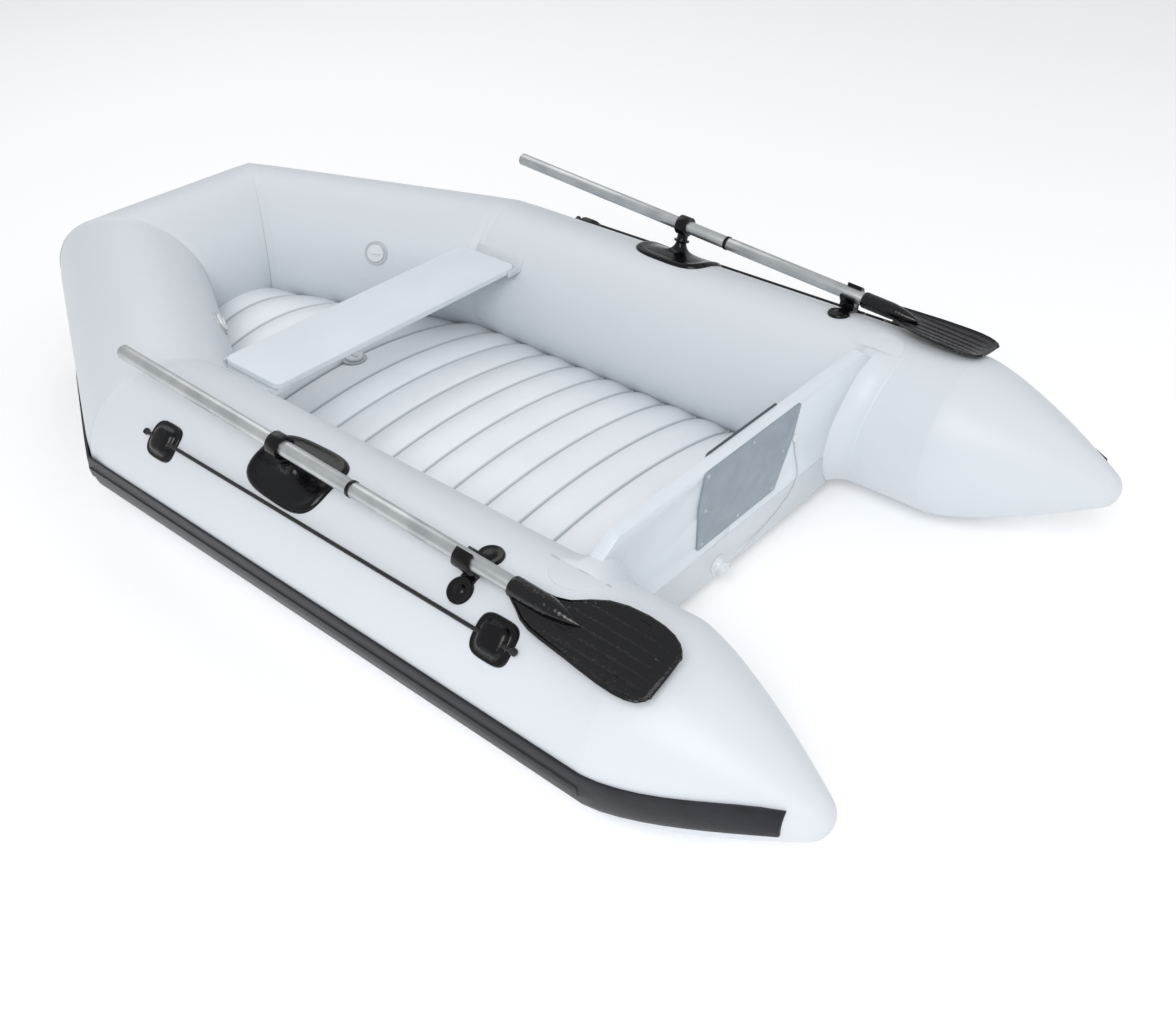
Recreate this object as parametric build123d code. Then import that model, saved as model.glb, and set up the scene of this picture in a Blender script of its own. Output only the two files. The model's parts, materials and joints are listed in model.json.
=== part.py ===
"""Inflatable rowing dinghy with a motor transom, a bench seat and two stowed oars.

Millimetres. +X points to the bow, +Y to port, +Z up. The origin is at the bottom centre of the boat.
Each sub-part is written to parts/NODE.step. Port pieces are modelled, and starboard ones mirror them.
"""

import os
from math import asin, atan, cos, degrees, hypot, radians, sin, tan

from build123d import *

# Air tubes
OVERALL_LENGTH = 2680.0
TUBE_DIAMETER = 380.0
TUBE_SPACING = 1136.0  # between the side tubes' centre lines
FABRIC = 1.0
BOW_ANGLE = 27.4  # plan angle of the bow sections from the side tubes
BOW_FRONT_WIDTH = 430.0  # length of the front section's centre line
BOW_RISE = 50.0
CONE_LENGTH = 350.0  # from the side tube to the rounded tip
CONE_END_DIAMETER = 80.0  # where the rounded tip starts
CONE_TOE = 8.0  # how far the cone leans outboard at its end
CONE_STEPS = 10
CONE_SWELL = 1.35  # above 1 the cone's side bulges outward
CAP_START = 0.8  # share of the cone's length ahead of its moulded cap
CAP_WALL = 3.0
TIP_STEPS = 8
TIP_TURN = 84.0  # degrees round the tip to the small flat at its pole

# Rub strake
STRAKE_THICKNESS = 6.0
STRAKE_RIB = 2.5
STRAKE_TOP_ANGLE = 4.5  # on the side tubes
STRAKE_BOW_ANGLE = -14.0  # on the front section, so that the strake stays level as the bow rises
STRAKE_WIDTH = 82.0
STRAKE_RIB_WIDTH = 24.0
STRAKE_END = 0.9  # share of the cone's length that the strake runs along
STRAKE_END_TURN = 44.0  # how far its top edge would turn up round the cone's whole length
STRAKE_END_POWER = 2.4
STRAKE_FOOT_TURN = 14.0
CORNER_PROUD = 1.7  # how far its mitred corners stand ahead of its run across the bow
STRAKE_SINK = 4.0  # how deep its section is drawn before the tube is cut from it

# Transom
STERN_OVERHANG = 560.0  # cone tip to the transom's top aft edge
TRANSOM_TOP = 405.0
TRANSOM_BOTTOM = 48.0
TRANSOM_RAKE = 8.5
TRANSOM_THICKNESS = 27.0
TRANSOM_TOP_WIDTH = 850.0
TRANSOM_WIDTH = 984.0
SHOULDER_DROP = 54.0
SHOULDER_FILLET = 24.0
HOLDER_BASE = 8.0
HOLDER_LIP = 18.0
HOLDER_LIP_WALL = 6.0
HOLDER_WIDTH = 76.0
SKIRT_HEIGHT = 112.0
SKIRT_THICKNESS = 1.6
PATCH_DIAMETER = 112.0
PATCH_THICKNESS = 1.6
PATCH_ANGLE = 105.0

# Motor plates
OUTER_PLATE_WIDTH = 334.0
OUTER_PLATE_FOOT = 280.0
OUTER_PLATE_HEIGHT = 226.0
OUTER_PLATE_CHEEK = 92.0
OUTER_PLATE_THICKNESS = 4.0
OUTER_PLATE_DROP = 2.0
INNER_PLATE_WIDTH = 246.0
INNER_PLATE_HEIGHT = 190.0
INNER_PLATE_THICKNESS = 5.0
INNER_PLATE_RISE = 3.0
PLATE_FILLET = 8.0
SCREW_HEAD_DIAMETER = 11.0
SCREW_HEAD_DEPTH = 2.0
SCREW_DIAMETER = 5.0
SCREW_LENGTH = 22.0
SCREW_INSET = 13.0

# Drain
DRAIN_Y = 40.0
DRAIN_HEIGHT = 76.0
DRAIN_FLANGE_DIAMETER = 44.0
DRAIN_FLANGE_THICKNESS = 4.0
DRAIN_HUB_DIAMETER = 30.0
DRAIN_HUB_LENGTH = 14.0
DRAIN_BORE = 20.0
PLUG_CLEARANCE = 0.05
PLUG_HEAD_DIAMETER = 28.0
PLUG_HEAD_THICKNESS = 8.0
PLUG_GRIP_THICKNESS = 5.0
LANYARD_DIAMETER = 3.0
LANYARD_GAP = 0.2
ANCHOR_DIAMETER = 14.0
ANCHOR_THICKNESS = 8.0

# Bottom and floor
SKIN_THICKNESS = 1.0
SKIN_STERN_HEIGHT = 37.0
SKIN_EDGE_HEIGHT = 36.0
SKIN_KEEL_HEIGHT = 1.0
SKIN_KEEL_HALF_WIDTH = 34.0
KEEL_DIAMETER = 58.0
KEEL_SET_IN = 320.0  # from the transom to the keel's stern end
FLOOR_EDGE_THICKNESS = 24.0
FLOOR_CROWN_TOP = 124.0
FLOOR_CROWN_BOTTOM = 66.0
FLOOR_GAP = 2.0
FLOOR_STRIPS = 12  # flat strips that make up its crown
FLOOR_TUCK = 30.0  # how far the floor's section runs in under the tubes before it is trimmed

# Seat
SEAT_AFT_X = 258.0
SEAT_DEPTH = 206.0
SEAT_LENGTH = 796.0
SEAT_HEIGHT = 318.0
SEAT_THICKNESS = 18.0
SEAT_EDGE_FILLET = 4.0
SEAT_CORNER_FILLET = 22.0
CRADLE_SHELF = 5.0
CRADLE_REACH = 30.0
CRADLE_TAB = 4.0
CRADLE_TAB_HEIGHT = 12.0
CRADLE_TAB_WIDTH = 34.0
CRADLE_PAD_WIDTH = 56.0
CRADLE_PAD = 3.0
CRADLE_GAP = 0.5

# Air valves
VALVE_ALONG = 327.0  # along the bow section from its aft joint
VALVE_ANGLE = 158.0
VALVE_FLANGE_DIAMETER = 66.0
VALVE_FLANGE_THICKNESS = 3.0
VALVE_BODY_DIAMETER = 46.0
VALVE_BODY_DEPTH = 26.0
VALVE_WELL_DIAMETER = 34.0
VALVE_CAP_DIAMETER = 48.0
VALVE_CAP_THICKNESS = 7.0
VALVE_CAP_PLUG_LENGTH = 7.0
VALVE_BUTTON_DIAMETER = 14.0
VALVE_BUTTON_LENGTH = 12.0
VALVE_BUTTON_TRAVEL = 4.0
FLOOR_VALVE_X = 490.0
RUNNING_FIT = 0.08

# Oars
OAR_ANGLE = 71.0  # around the tube, up from its outboard side
OAR_TILT = 3.9
ROWLOCK_X = -110.0
ROWLOCK_HEIGHT = 75.0  # shaft centre above the tube's skin
SHAFT_DIAMETER = 32.0
SHAFT_WALL = 1.5
HANDLE_REACH = 512.0  # forward of the rowlock
JOINT_REACH = 205.0  # aft of the rowlock
BLADE_START = 613.0
OAR_TAIL = 940.0
FAR_OAR_SLIDE = 72.0  # how far forward the starboard oar is pushed through its rowlock
FAR_OAR_TWIST = 11.0  # and how far its blade is turned
SPIGOT_LENGTH = 90.0
SPIGOT_DIAMETER = 28.9
COLLAR_LENGTH = 8.0
COLLAR_DIAMETER = 35.0
BLADE_WIDTH = 140.0
BLADE_THICKNESS = 5.0
BLADE_HOLLOW = 10.0
SLEEVE_DIAMETER = 40.0
SLEEVE_LENGTH = 74.0
SLEEVE_OVERLAP = 60.0

# Rowlocks
LOCK_BASE_LENGTH = 214.0
LOCK_BASE_WIDTH = 146.0
LOCK_BASE_FILLET = 42.0
LOCK_BASE_THICKNESS = 5.0
LOCK_POST_FOOT_RADIUS = 34.0
LOCK_POST_HEAD_RADIUS = 20.0
LOCK_POST_HEIGHT = 34.0
LOCK_PIN_DIAMETER = 12.0
LOCK_PIN_LENGTH = 26.0
LOCK_GAP = 0.4
LOCK_FLANGE_THICKNESS = 5.0
LOCK_NECK_RADIUS = 14.0
LOCK_RING_WALL = 9.0
LOCK_RING_WIDTH = 30.0

# Oar keepers
KEEPER_X = -616.0
KEEPER_PAD_RADIUS = 27.0
KEEPER_PAD_ANGLE = 12.8
KEEPER_PAD_THICKNESS = 6.0
KEEPER_STRAP_WIDTH = 32.0
KEEPER_CLIP_WALL = 8.0
KEEPER_CLIP_WIDTH = 38.0
KEEPER_CLIP_GAP = 0.35
KEEPER_MOUTH = 96.0
KEEPER_MOUTH_TURN = 52.0

# Grab lines
ROPE_ANGLE = 45.0
ROPE_DIAMETER = 8.0
ROPE_HEIGHT = 9.0  # rope centre above the tube's skin
ROPE_FORE_X = 252.0
ROPE_AFT_X = -729.0
ROPE_TAIL = 22.0
PAD_LENGTH = 90.0
PAD_WIDTH = 80.0
PAD_FILLET = 22.0
PAD_FLANGE = 4.0
PAD_DOME = 16.0
PAD_DOME_SHARE = 0.66
KNOT_RADIUS = 8.0

# Derived positions
R = TUBE_DIAMETER / 2
HALF_SPACING = TUBE_SPACING / 2
TIP_X = -OVERALL_LENGTH / 2
END_RADIUS = CONE_END_DIAMETER / 2
END_SLOPE = atan((R - END_RADIUS) * CONE_SWELL / CONE_LENGTH)
TIP_RADIUS = END_RADIUS / cos(END_SLOPE)  # so that the rounded tip runs on smoothly from the cone
CONE_X = TIP_X + CONE_LENGTH + TIP_RADIUS * (1 - sin(END_SLOPE))
FRONT_X = OVERALL_LENGTH / 2 - CORNER_PROUD - (R + STRAKE_THICKNESS) * cos(radians(STRAKE_BOW_ANGLE))
BOW_RUN = (HALF_SPACING - BOW_FRONT_WIDTH / 2) / tan(radians(BOW_ANGLE))
MITRE_X = FRONT_X - BOW_RUN
MITRE = Vector(MITRE_X, HALF_SPACING, R)
CORNER = Vector(FRONT_X, BOW_FRONT_WIDTH / 2, R + BOW_RISE)
BOW_DIRECTION = (CORNER - MITRE).normalized()
TRANSOM_X = TIP_X + STERN_OVERHANG
SHAFT_RADIUS = SHAFT_DIAMETER / 2
MARGIN = 400.0


def side_plane(x):
    """Cross-section plane of the port side tube: local x outboard, local y up."""
    return Plane(origin=(x, HALF_SPACING, R), x_dir=(0, 1, 0), z_dir=(1, 0, 0))


def bow_plane(along):
    """Cross-section plane of the port bow section, with local x outboard."""
    outboard = Vector(sin(radians(BOW_ANGLE)), cos(radians(BOW_ANGLE)), 0)
    return Plane(origin=MITRE + BOW_DIRECTION * along, x_dir=outboard, z_dir=BOW_DIRECTION)


def front_plane(y):
    """Cross-section plane of the front section, with local x forward."""
    return Plane(origin=(FRONT_X, y, R + BOW_RISE), x_dir=(1, 0, 0), z_dir=(0, -1, 0))


def mitre_plane(point, before, after):
    """Plane of a mitred joint between two tube directions."""
    return Plane(origin=point, z_dir=(before + after).normalized())


AFT_JOINT = mitre_plane(MITRE, Vector(1, 0, 0), BOW_DIRECTION)
FORE_JOINT = mitre_plane(CORNER, BOW_DIRECTION, Vector(0, -1, 0))
FAR_JOINT = mitre_plane(Vector(CORNER.X, -CORNER.Y, CORNER.Z), Vector(0, -1, 0),
                        Vector(-BOW_DIRECTION.X, BOW_DIRECTION.Y, -BOW_DIRECTION.Z))


def between(shape, first, last):
    """The part of a shape ahead of the first plane and behind the last."""
    kept = split(shape, bisect_by=first, keep=Keep.TOP)
    return split(kept, bisect_by=last, keep=Keep.BOTTOM)


def side_rod(radius):
    """Solid cylinder along the port side tube, from the stern seam to the bow joint."""
    rod = extrude(side_plane(CONE_X) * Circle(radius), MITRE_X - CONE_X + MARGIN)
    return split(rod, bisect_by=AFT_JOINT, keep=Keep.BOTTOM)


def bow_rod(radius):
    """Solid cylinder along the port bow section between its two mitred joints."""
    length = (CORNER - MITRE).length + 2 * MARGIN
    return between(extrude(bow_plane(-MARGIN) * Circle(radius), length), AFT_JOINT, FORE_JOINT)


def front_rod(radius):
    """Solid cylinder along the front section between its two mitred joints."""
    reach = BOW_FRONT_WIDTH / 2 + MARGIN
    return between(extrude(front_plane(reach) * Circle(radius), 2 * reach), FORE_JOINT, FAR_JOINT)


def cone_radius(share):
    """Radius of the stern cone at a share of its length."""
    return R - (R - END_RADIUS) * share ** CONE_SWELL


def cone_plane(share):
    """Cross-section plane of the port stern cone, looking like side_plane."""
    origin = (CONE_X - share * CONE_LENGTH, HALF_SPACING + CONE_TOE * share, R)
    return Plane(origin=origin, x_dir=(0, 1, 0), z_dir=(1, 0, 0))


def cone_solid(inset, first, last):
    """Solid stretch of the stern cone, made smaller all round by an inset."""
    steps = [n / CONE_STEPS for n in range(CONE_STEPS + 1)]
    shares = [s for s in steps if first <= s <= last]
    return loft([cone_plane(s) * Circle(cone_radius(s) - inset) for s in shares], ruled=True)


def side_tube():
    """Hollow fabric side tube."""
    return side_rod(R) - side_rod(R - FABRIC)


def bow_tube():
    """Hollow fabric bow section with the hole that its valve sits in."""
    tube = bow_rod(R) - bow_rod(R - FABRIC)
    return tube - extrude(valve_plane(R) * Circle(VALVE_BODY_DIAMETER / 2), 20, both=True)


def front_tube():
    """Hollow fabric section across the bow."""
    return front_rod(R) - front_rod(R - FABRIC)


def bulkhead():
    """Fabric wall that parts the port air chamber from the starboard one."""
    return extrude(front_plane(FABRIC / 2) * Circle(R - FABRIC), FABRIC)


def cone_wall():
    """Hollow fabric cone behind the side tube."""
    return cone_solid(0, 0, CAP_START) - cone_solid(FABRIC, 0, CAP_START)


def tip_circle(turn, inset):
    """Circle round the rounded tip, at an angle along its curve from the cone towards its pole."""
    reach = TIP_RADIUS * (sin(turn) - sin(END_SLOPE))
    place = Plane(origin=cone_plane(1).origin - Vector(reach, 0, 0), x_dir=(0, 1, 0), z_dir=(1, 0, 0))
    return place * Circle(TIP_RADIUS * cos(turn) - inset)


def cap_solid(inset, turns):
    """Solid cap made smaller all round by an inset, rounded over a number of steps of its tip."""
    shares = [n / CONE_STEPS for n in range(CONE_STEPS + 1)]
    circles = [cone_plane(s) * Circle(cone_radius(s) - inset) for s in shares if s >= CAP_START]
    step = (radians(TIP_TURN) - END_SLOPE) / TIP_STEPS
    circles += [tip_circle(END_SLOPE + step * n, inset) for n in range(1, turns + 1)]
    return loft(circles, ruled=True)


def cone_cap():
    """Moulded end cap with a rounded tip."""
    return cap_solid(0, TIP_STEPS) - cap_solid(CAP_WALL, TIP_STEPS - 2)


def polar(radius, angle):
    """Point at a radius and an angle in degrees."""
    return (radius * cos(radians(angle)), radius * sin(radians(angle)))


def sector(inner, outer, top, foot):
    """Face of a ring between two angles."""
    middle = (top + foot) / 2
    outline = ThreePointArc(polar(outer, top), polar(outer, middle), polar(outer, foot))
    outline += Line(polar(outer, foot), polar(inner, foot))
    outline += ThreePointArc(polar(inner, foot), polar(inner, middle), polar(inner, top))
    outline += Line(polar(inner, top), polar(outer, top))
    return make_face(outline)


def arc_angle(length, radius):
    """Angle in degrees that an arc length covers at a radius."""
    return degrees(length / radius)


def strake_face(top=STRAKE_TOP_ANGLE):
    """Section of the rub strake: a wide band with a raised rib along its middle."""
    foot = top - arc_angle(STRAKE_WIDTH, R)
    middle = (top + foot) / 2
    half_rib = arc_angle(STRAKE_RIB_WIDTH, R) / 2
    outer = R + STRAKE_THICKNESS
    inner = R - STRAKE_SINK
    return sector(inner, outer, top, foot) + sector(inner, outer + STRAKE_RIB, middle + half_rib, middle - half_rib)


def side_strake():
    """Rub strake along the side tube."""
    band = extrude(side_plane(CONE_X) * strake_face(), MITRE_X - CONE_X + MARGIN)
    return split(band, bisect_by=AFT_JOINT, keep=Keep.BOTTOM) - side_rod(R)


def stern_face(share):
    """Section of the strake on the stern cone, which climbs the cone's side to stay level."""
    radius = cone_radius(share)
    top = STRAKE_TOP_ANGLE + STRAKE_END_TURN * share ** STRAKE_END_POWER
    foot = STRAKE_TOP_ANGLE - arc_angle(STRAKE_WIDTH, R) + STRAKE_FOOT_TURN * share ** 2
    return cone_plane(share) * sector(radius - STRAKE_SINK, radius + STRAKE_THICKNESS, top, foot)


def stern_strake():
    """Rub strake that follows the side of the stern cone."""
    steps = [n / CONE_STEPS for n in range(CONE_STEPS + 1)]
    faces = [stern_face(share) for share in steps if share <= STRAKE_END]
    return loft(faces, ruled=True) - cone_solid(0, 0, 1)


def bow_strake():
    """Rub strake round both bow sections and the front, level while the bow rises."""
    length = (CORNER - MITRE).length
    start = R * tan(radians(BOW_ANGLE / 2))
    end = length - R * tan(radians(45 - BOW_ANGLE / 2))
    middle = (STRAKE_TOP_ANGLE + STRAKE_BOW_ANGLE) / 2
    stations = [(-MARGIN, STRAKE_TOP_ANGLE), (start, STRAKE_TOP_ANGLE), ((start + end) / 2, middle),
                (end, STRAKE_BOW_ANGLE), (length + MARGIN, STRAKE_BOW_ANGLE)]
    band = loft([bow_plane(along) * strake_face(top) for along, top in stations], ruled=True)
    side = between(band, AFT_JOINT, FORE_JOINT) - bow_rod(R)
    reach = BOW_FRONT_WIDTH / 2 + MARGIN
    band = extrude(front_plane(reach) * strake_face(STRAKE_BOW_ANGLE), 2 * reach)
    front = between(band, FORE_JOINT, FAR_JOINT) - front_rod(R)
    return [side, front, side.mirror(Plane.XZ)]


def transom_plane(forward=0.0):
    """The transom's aft face, moved forward by a distance: local x to starboard, local y up the board."""
    rake = radians(TRANSOM_RAKE)
    origin = Vector(TRANSOM_X, 0, TRANSOM_TOP) + Vector(cos(rake), 0, sin(rake)) * forward
    return Plane(origin=origin, x_dir=(0, -1, 0), z_dir=(-cos(rake), 0, -sin(rake)))


def down_board(height):
    """Local height on the transom's aft face for a height above the ground."""
    return (height - TRANSOM_TOP) / cos(radians(TRANSOM_RAKE))


def tubes_solid(radius):
    """Both side tubes as endless cylinders, for cutting what fits between them."""
    rod = extrude(side_plane(TIP_X - MARGIN) * Circle(radius), OVERALL_LENGTH + 2 * MARGIN)
    return rod + rod.mirror(Plane.XZ)


def board_outline(top, foot):
    """Outline of the transom board, with dropped and rounded shoulders."""
    half_top = TRANSOM_TOP_WIDTH / 2
    half = TRANSOM_WIDTH / 2
    points = [(-half_top, top), (half_top, top), (half, top - SHOULDER_DROP), (half, foot),
              (-half, foot), (-half, top - SHOULDER_DROP)]
    outline = make_face(Polyline(*points, close=True))
    corners = outline.vertices().sort_by(Axis.Y)[-4:]
    return fillet(corners, SHOULDER_FILLET)


def transom_board():
    """Plywood board between the side tubes, bored for the drain and the plate screws."""
    sheet = transom_plane() * board_outline(0, down_board(TRANSOM_BOTTOM))
    board = extrude(sheet, -TRANSOM_THICKNESS) - tubes_solid(R + HOLDER_BASE)
    board -= drain_rod(DRAIN_BORE / 2 + SKIRT_THICKNESS, -TRANSOM_THICKNESS, MARGIN)
    for spot in screw_spots():
        hole = transom_plane() * Pos(*spot) * Circle(SCREW_DIAMETER / 2)
        board -= extrude(hole, OUTER_PLATE_THICKNESS - SCREW_LENGTH)
    return board


def holder_slab(half):
    """Slab round the transom board's middle plane that bounds its holders."""
    outline = board_outline(-HOLDER_BASE, down_board(TRANSOM_BOTTOM))
    return extrude(transom_plane(TRANSOM_THICKNESS / 2) * outline, half, both=True)


def transom_holder():
    """Moulded channel glued to the tube, which grips the end of the transom board."""
    slab = holder_slab(HOLDER_WIDTH / 2)
    lips = holder_slab(TRANSOM_THICKNESS / 2 + HOLDER_LIP_WALL)
    slot = extrude(transom_plane() * Rectangle(2 * TUBE_SPACING, 2 * TUBE_SPACING), -TRANSOM_THICKNESS)
    tube = extrude(side_plane(TIP_X) * Circle(R), OVERALL_LENGTH)
    base = slab & (extrude(side_plane(TIP_X) * Circle(R + HOLDER_BASE), OVERALL_LENGTH) - tube)
    outer = extrude(side_plane(TIP_X) * Circle(R + HOLDER_BASE + HOLDER_LIP), OVERALL_LENGTH)
    inner = extrude(side_plane(TIP_X) * Circle(R + HOLDER_BASE), OVERALL_LENGTH)
    return base + ((lips & (outer - inner)) - slot)


def skirt():
    """Bottom fabric turned up and glued to the transom's aft face."""
    foot = down_board(SKIN_STERN_HEIGHT)
    sheet = Pos(0, foot + SKIRT_HEIGHT / 2) * Rectangle(TUBE_SPACING, SKIRT_HEIGHT)
    band = extrude(transom_plane() * sheet, SKIRT_THICKNESS)
    band -= tubes_solid(R + HOLDER_BASE + HOLDER_LIP)
    return band - drain_rod(DRAIN_BORE / 2 + SKIRT_THICKNESS, -MARGIN, MARGIN)


def round_patch():
    """Round reinforcement patch on the tube over the transom's end."""
    along = TRANSOM_X + TRANSOM_THICKNESS / 2
    patch = surface_pad(along, PATCH_ANGLE, Circle(PATCH_DIAMETER / 2), 0, PATCH_THICKNESS)
    return patch - holder_slab(HOLDER_WIDTH / 2)


def surface_plane(x, angle, height=0.0):
    """Plane outward from the port side tube's axis at an angle, with local x forward."""
    outward = Vector(0, cos(radians(angle)), sin(radians(angle)))
    return Plane(origin=Vector(x, HALF_SPACING, R) + outward * height, x_dir=(1, 0, 0), z_dir=outward)


def surface_pad(x, angle, sketch, low, high):
    """Pad on the port side tube between two heights above its skin."""
    block = extrude(surface_plane(x, angle) * sketch, R + high + MARGIN)
    ring = side_rod(R + high) - side_rod(R + low)
    return block & ring


def outer_plate_sketch():
    """Outline of the outer motor plate: upright cheeks above a tapering foot."""
    half = OUTER_PLATE_WIDTH / 2
    foot = OUTER_PLATE_FOOT / 2
    low = -OUTER_PLATE_HEIGHT
    points = [(-half, 0), (half, 0), (half, -OUTER_PLATE_CHEEK), (foot, low), (-foot, low),
              (-half, -OUTER_PLATE_CHEEK)]
    outline = make_face(Polyline(*points, close=True))
    return Pos(0, -OUTER_PLATE_DROP) * fillet(outline.vertices(), PLATE_FILLET)


def screw_spots():
    """The eight plate screws: three along the top, three along the foot, one on each cheek."""
    top = -OUTER_PLATE_DROP - SCREW_INSET
    low = -OUTER_PLATE_DROP - OUTER_PLATE_HEIGHT + SCREW_INSET
    half_top = OUTER_PLATE_WIDTH / 2 - SCREW_INSET
    half_foot = OUTER_PLATE_FOOT / 2 - SCREW_INSET
    middle = (top + low) / 2
    half_middle = (half_top + half_foot) / 2 - 2
    return [(-half_top, top), (0, top), (half_top, top), (-half_middle, middle), (half_middle, middle),
            (-half_foot, low), (0, low), (half_foot, low)]


def outer_plate():
    """Outer motor plate with countersunk screw seats."""
    plate = extrude(transom_plane() * outer_plate_sketch(), OUTER_PLATE_THICKNESS)
    face = transom_plane(-OUTER_PLATE_THICKNESS)
    for spot in screw_spots():
        plate -= extrude(face * Pos(*spot) * Circle(SCREW_HEAD_DIAMETER / 2), -SCREW_HEAD_DEPTH)
        plate -= extrude(face * Pos(*spot) * Circle(SCREW_DIAMETER / 2), -OUTER_PLATE_THICKNESS)
    return plate


def plate_screws():
    """Flush screws that hold the outer motor plate."""
    face = transom_plane(-OUTER_PLATE_THICKNESS)
    screws = []
    for spot in screw_spots():
        head = extrude(face * Pos(*spot) * Circle(SCREW_HEAD_DIAMETER / 2), -SCREW_HEAD_DEPTH)
        shank = extrude(face * Pos(*spot) * Circle(SCREW_DIAMETER / 2), -SCREW_LENGTH)
        screws.append(head + shank)
    return screws


def inner_plate():
    """Inner motor plate that stands just above the board's forward edge."""
    centre = INNER_PLATE_RISE - INNER_PLATE_HEIGHT / 2
    sheet = Pos(0, centre) * RectangleRounded(INNER_PLATE_WIDTH, INNER_PLATE_HEIGHT, PLATE_FILLET)
    return extrude(transom_plane(TRANSOM_THICKNESS) * sheet, -INNER_PLATE_THICKNESS)


def drain_rod(radius, start, end):
    """Cylinder on the drain's axis, measured aft from the transom's aft face."""
    plane = transom_plane(-start) * Pos(-DRAIN_Y, down_board(DRAIN_HEIGHT))
    return extrude(plane * Circle(radius), end - start)


def drain_body():
    """Drain fitting through the transom, with a flange and a hub on the aft side."""
    start = SKIRT_THICKNESS
    body = drain_rod(DRAIN_BORE / 2 + SKIRT_THICKNESS, -TRANSOM_THICKNESS, start)
    body += drain_rod(DRAIN_FLANGE_DIAMETER / 2, start, start + DRAIN_FLANGE_THICKNESS)
    body += drain_rod(DRAIN_HUB_DIAMETER / 2, start, start + DRAIN_HUB_LENGTH)
    return body - drain_rod(DRAIN_BORE / 2, -MARGIN, MARGIN)


def drain_plug():
    """Push-in plug with a round head and a raised grip."""
    face = SKIRT_THICKNESS + DRAIN_HUB_LENGTH
    plug = drain_rod(DRAIN_BORE / 2 - PLUG_CLEARANCE, -TRANSOM_THICKNESS / 2, face)
    plug += drain_rod(PLUG_HEAD_DIAMETER / 2, face, face + PLUG_HEAD_THICKNESS)
    top = transom_plane(-face - PLUG_HEAD_THICKNESS) * Pos(-DRAIN_Y, down_board(DRAIN_HEIGHT))
    grip = extrude(top * RectangleRounded(PLUG_HEAD_DIAMETER * 0.7, PLUG_GRIP_THICKNESS, 2), PLUG_HEAD_THICKNESS)
    return plug + grip + plug_lug()


def plug_lug():
    """Flat-faced lug on the plug's rim, where the lanyard ends."""
    across, down, height = LANYARD_ROUTE[-1]
    length = across + DRAIN_Y - PLUG_HEAD_DIAMETER / 2 + 3
    place = transom_plane(-height) * Pos(across - LANYARD_GAP - length / 2, down)
    return extrude(place * Rectangle(length, 2 * LANYARD_DIAMETER), 2.5, both=True)


# Lanyard route: distance to starboard, distance down the board and height of the cord's centre above it.
LANYARD_ROUTE = [(178, -108, 3.0), (194, -142, 2.2), (212, -178, 2.0), (231, -212, 2.0), (242, -242, 3.0),
                 (241, -269, 3.6), (225, -294, 3.4), (196, -316, 3.3), (158, -332, 3.4), (112, -342, 4.0),
                 (68, -345, 7.0), (30, -341, 13.5), (3, -334, 18.6), (-20, -332.5, 19.6)]


def lanyard_points():
    """Lanyard points in the boat's frame."""
    return [(transom_plane(-height) * Pos(across, down)).position for across, down, height in LANYARD_ROUTE]


def cord_radii(points):
    """Largest arc radius at each inner point: 0.45 of its shorter run over the tangent of half its turn."""
    radii = []
    for before, point, after in zip(points, points[1:], points[2:]):
        turn = radians((point - before).get_angle(after - point))
        run = min((point - before).length, (after - point).length)
        radii.append(0.45 * run / tan(turn / 2))
    return radii


def lanyard():
    """Thin cord from its anchor beside the motor plate to the drain plug."""
    points = lanyard_points()
    radii = cord_radii(points)
    route = FilletPolyline(*points, radius=radii)
    start = Plane(origin=points[0], z_dir=points[1] - points[0])
    return sweep(start * Circle(LANYARD_DIAMETER / 2), path=route)


def lanyard_anchor():
    """Small round anchor screwed to the transom, from which the lanyard hangs."""
    across, down, _ = LANYARD_ROUTE[0]
    place = transom_plane() * Pos(across - 2, down + 5)
    return extrude(place * Circle(ANCHOR_DIAMETER / 2), ANCHOR_THICKNESS)


def plan_between_tubes():
    """Prism over the area inside the tubes' centre lines."""
    corners = [(TIP_X, HALF_SPACING), (MITRE_X, HALF_SPACING), (FRONT_X, BOW_FRONT_WIDTH / 2),
               (FRONT_X, -BOW_FRONT_WIDTH / 2), (MITRE_X, -HALF_SPACING), (TIP_X, -HALF_SPACING)]
    return extrude(make_face(Polyline(*corners, close=True)), 2 * TUBE_DIAMETER, both=True)


def all_tubes(radius):
    """Every tube as a solid of the given radius, for cutting the floor and bottom."""
    solids = [tubes_solid(radius), bow_rod(radius), front_rod(radius)]
    solids.append(solids[1].mirror(Plane.XZ))
    return solids


def station(x):
    """Upright plane across the boat, with local x to port and local y up."""
    return Plane(origin=(x, 0, 0), x_dir=(0, 1, 0), z_dir=(1, 0, 0))


def hull_run(sketch, aft_x, gap, stern=None):
    """A cross-section run forward along the side tubes and up the rising bow, trimmed to fit inside the tubes."""
    run = extrude(station(aft_x) * sketch, MITRE_X - aft_x)
    run += extrude(station(MITRE_X) * sketch, amount=BOW_RUN, dir=(BOW_RUN, 0, BOW_RISE))
    if stern:
        run += stern
    run &= plan_between_tubes()
    for rod in all_tubes(R + gap):
        run -= rod
    return run


def hull_solid(shape):
    """The largest solid of a trimmed run."""
    return shape.solids().sort_by(SortBy.VOLUME)[-1]


def tube_gap(height):
    """Half width between the side tubes at a height."""
    return HALF_SPACING - (R ** 2 - (R - height) ** 2) ** 0.5


def skin_section(edge_height, keel_height):
    """Section of the bottom fabric from tube to tube."""
    edge = tube_gap(edge_height) + 12
    half = SKIN_KEEL_HALF_WIDTH
    low = [(-edge, edge_height), (-half, keel_height), (half, keel_height), (edge, edge_height)]
    high = [(y, z + SKIN_THICKNESS) for y, z in reversed(low)]
    return make_face(Polyline(*low, *high, close=True))


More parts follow.
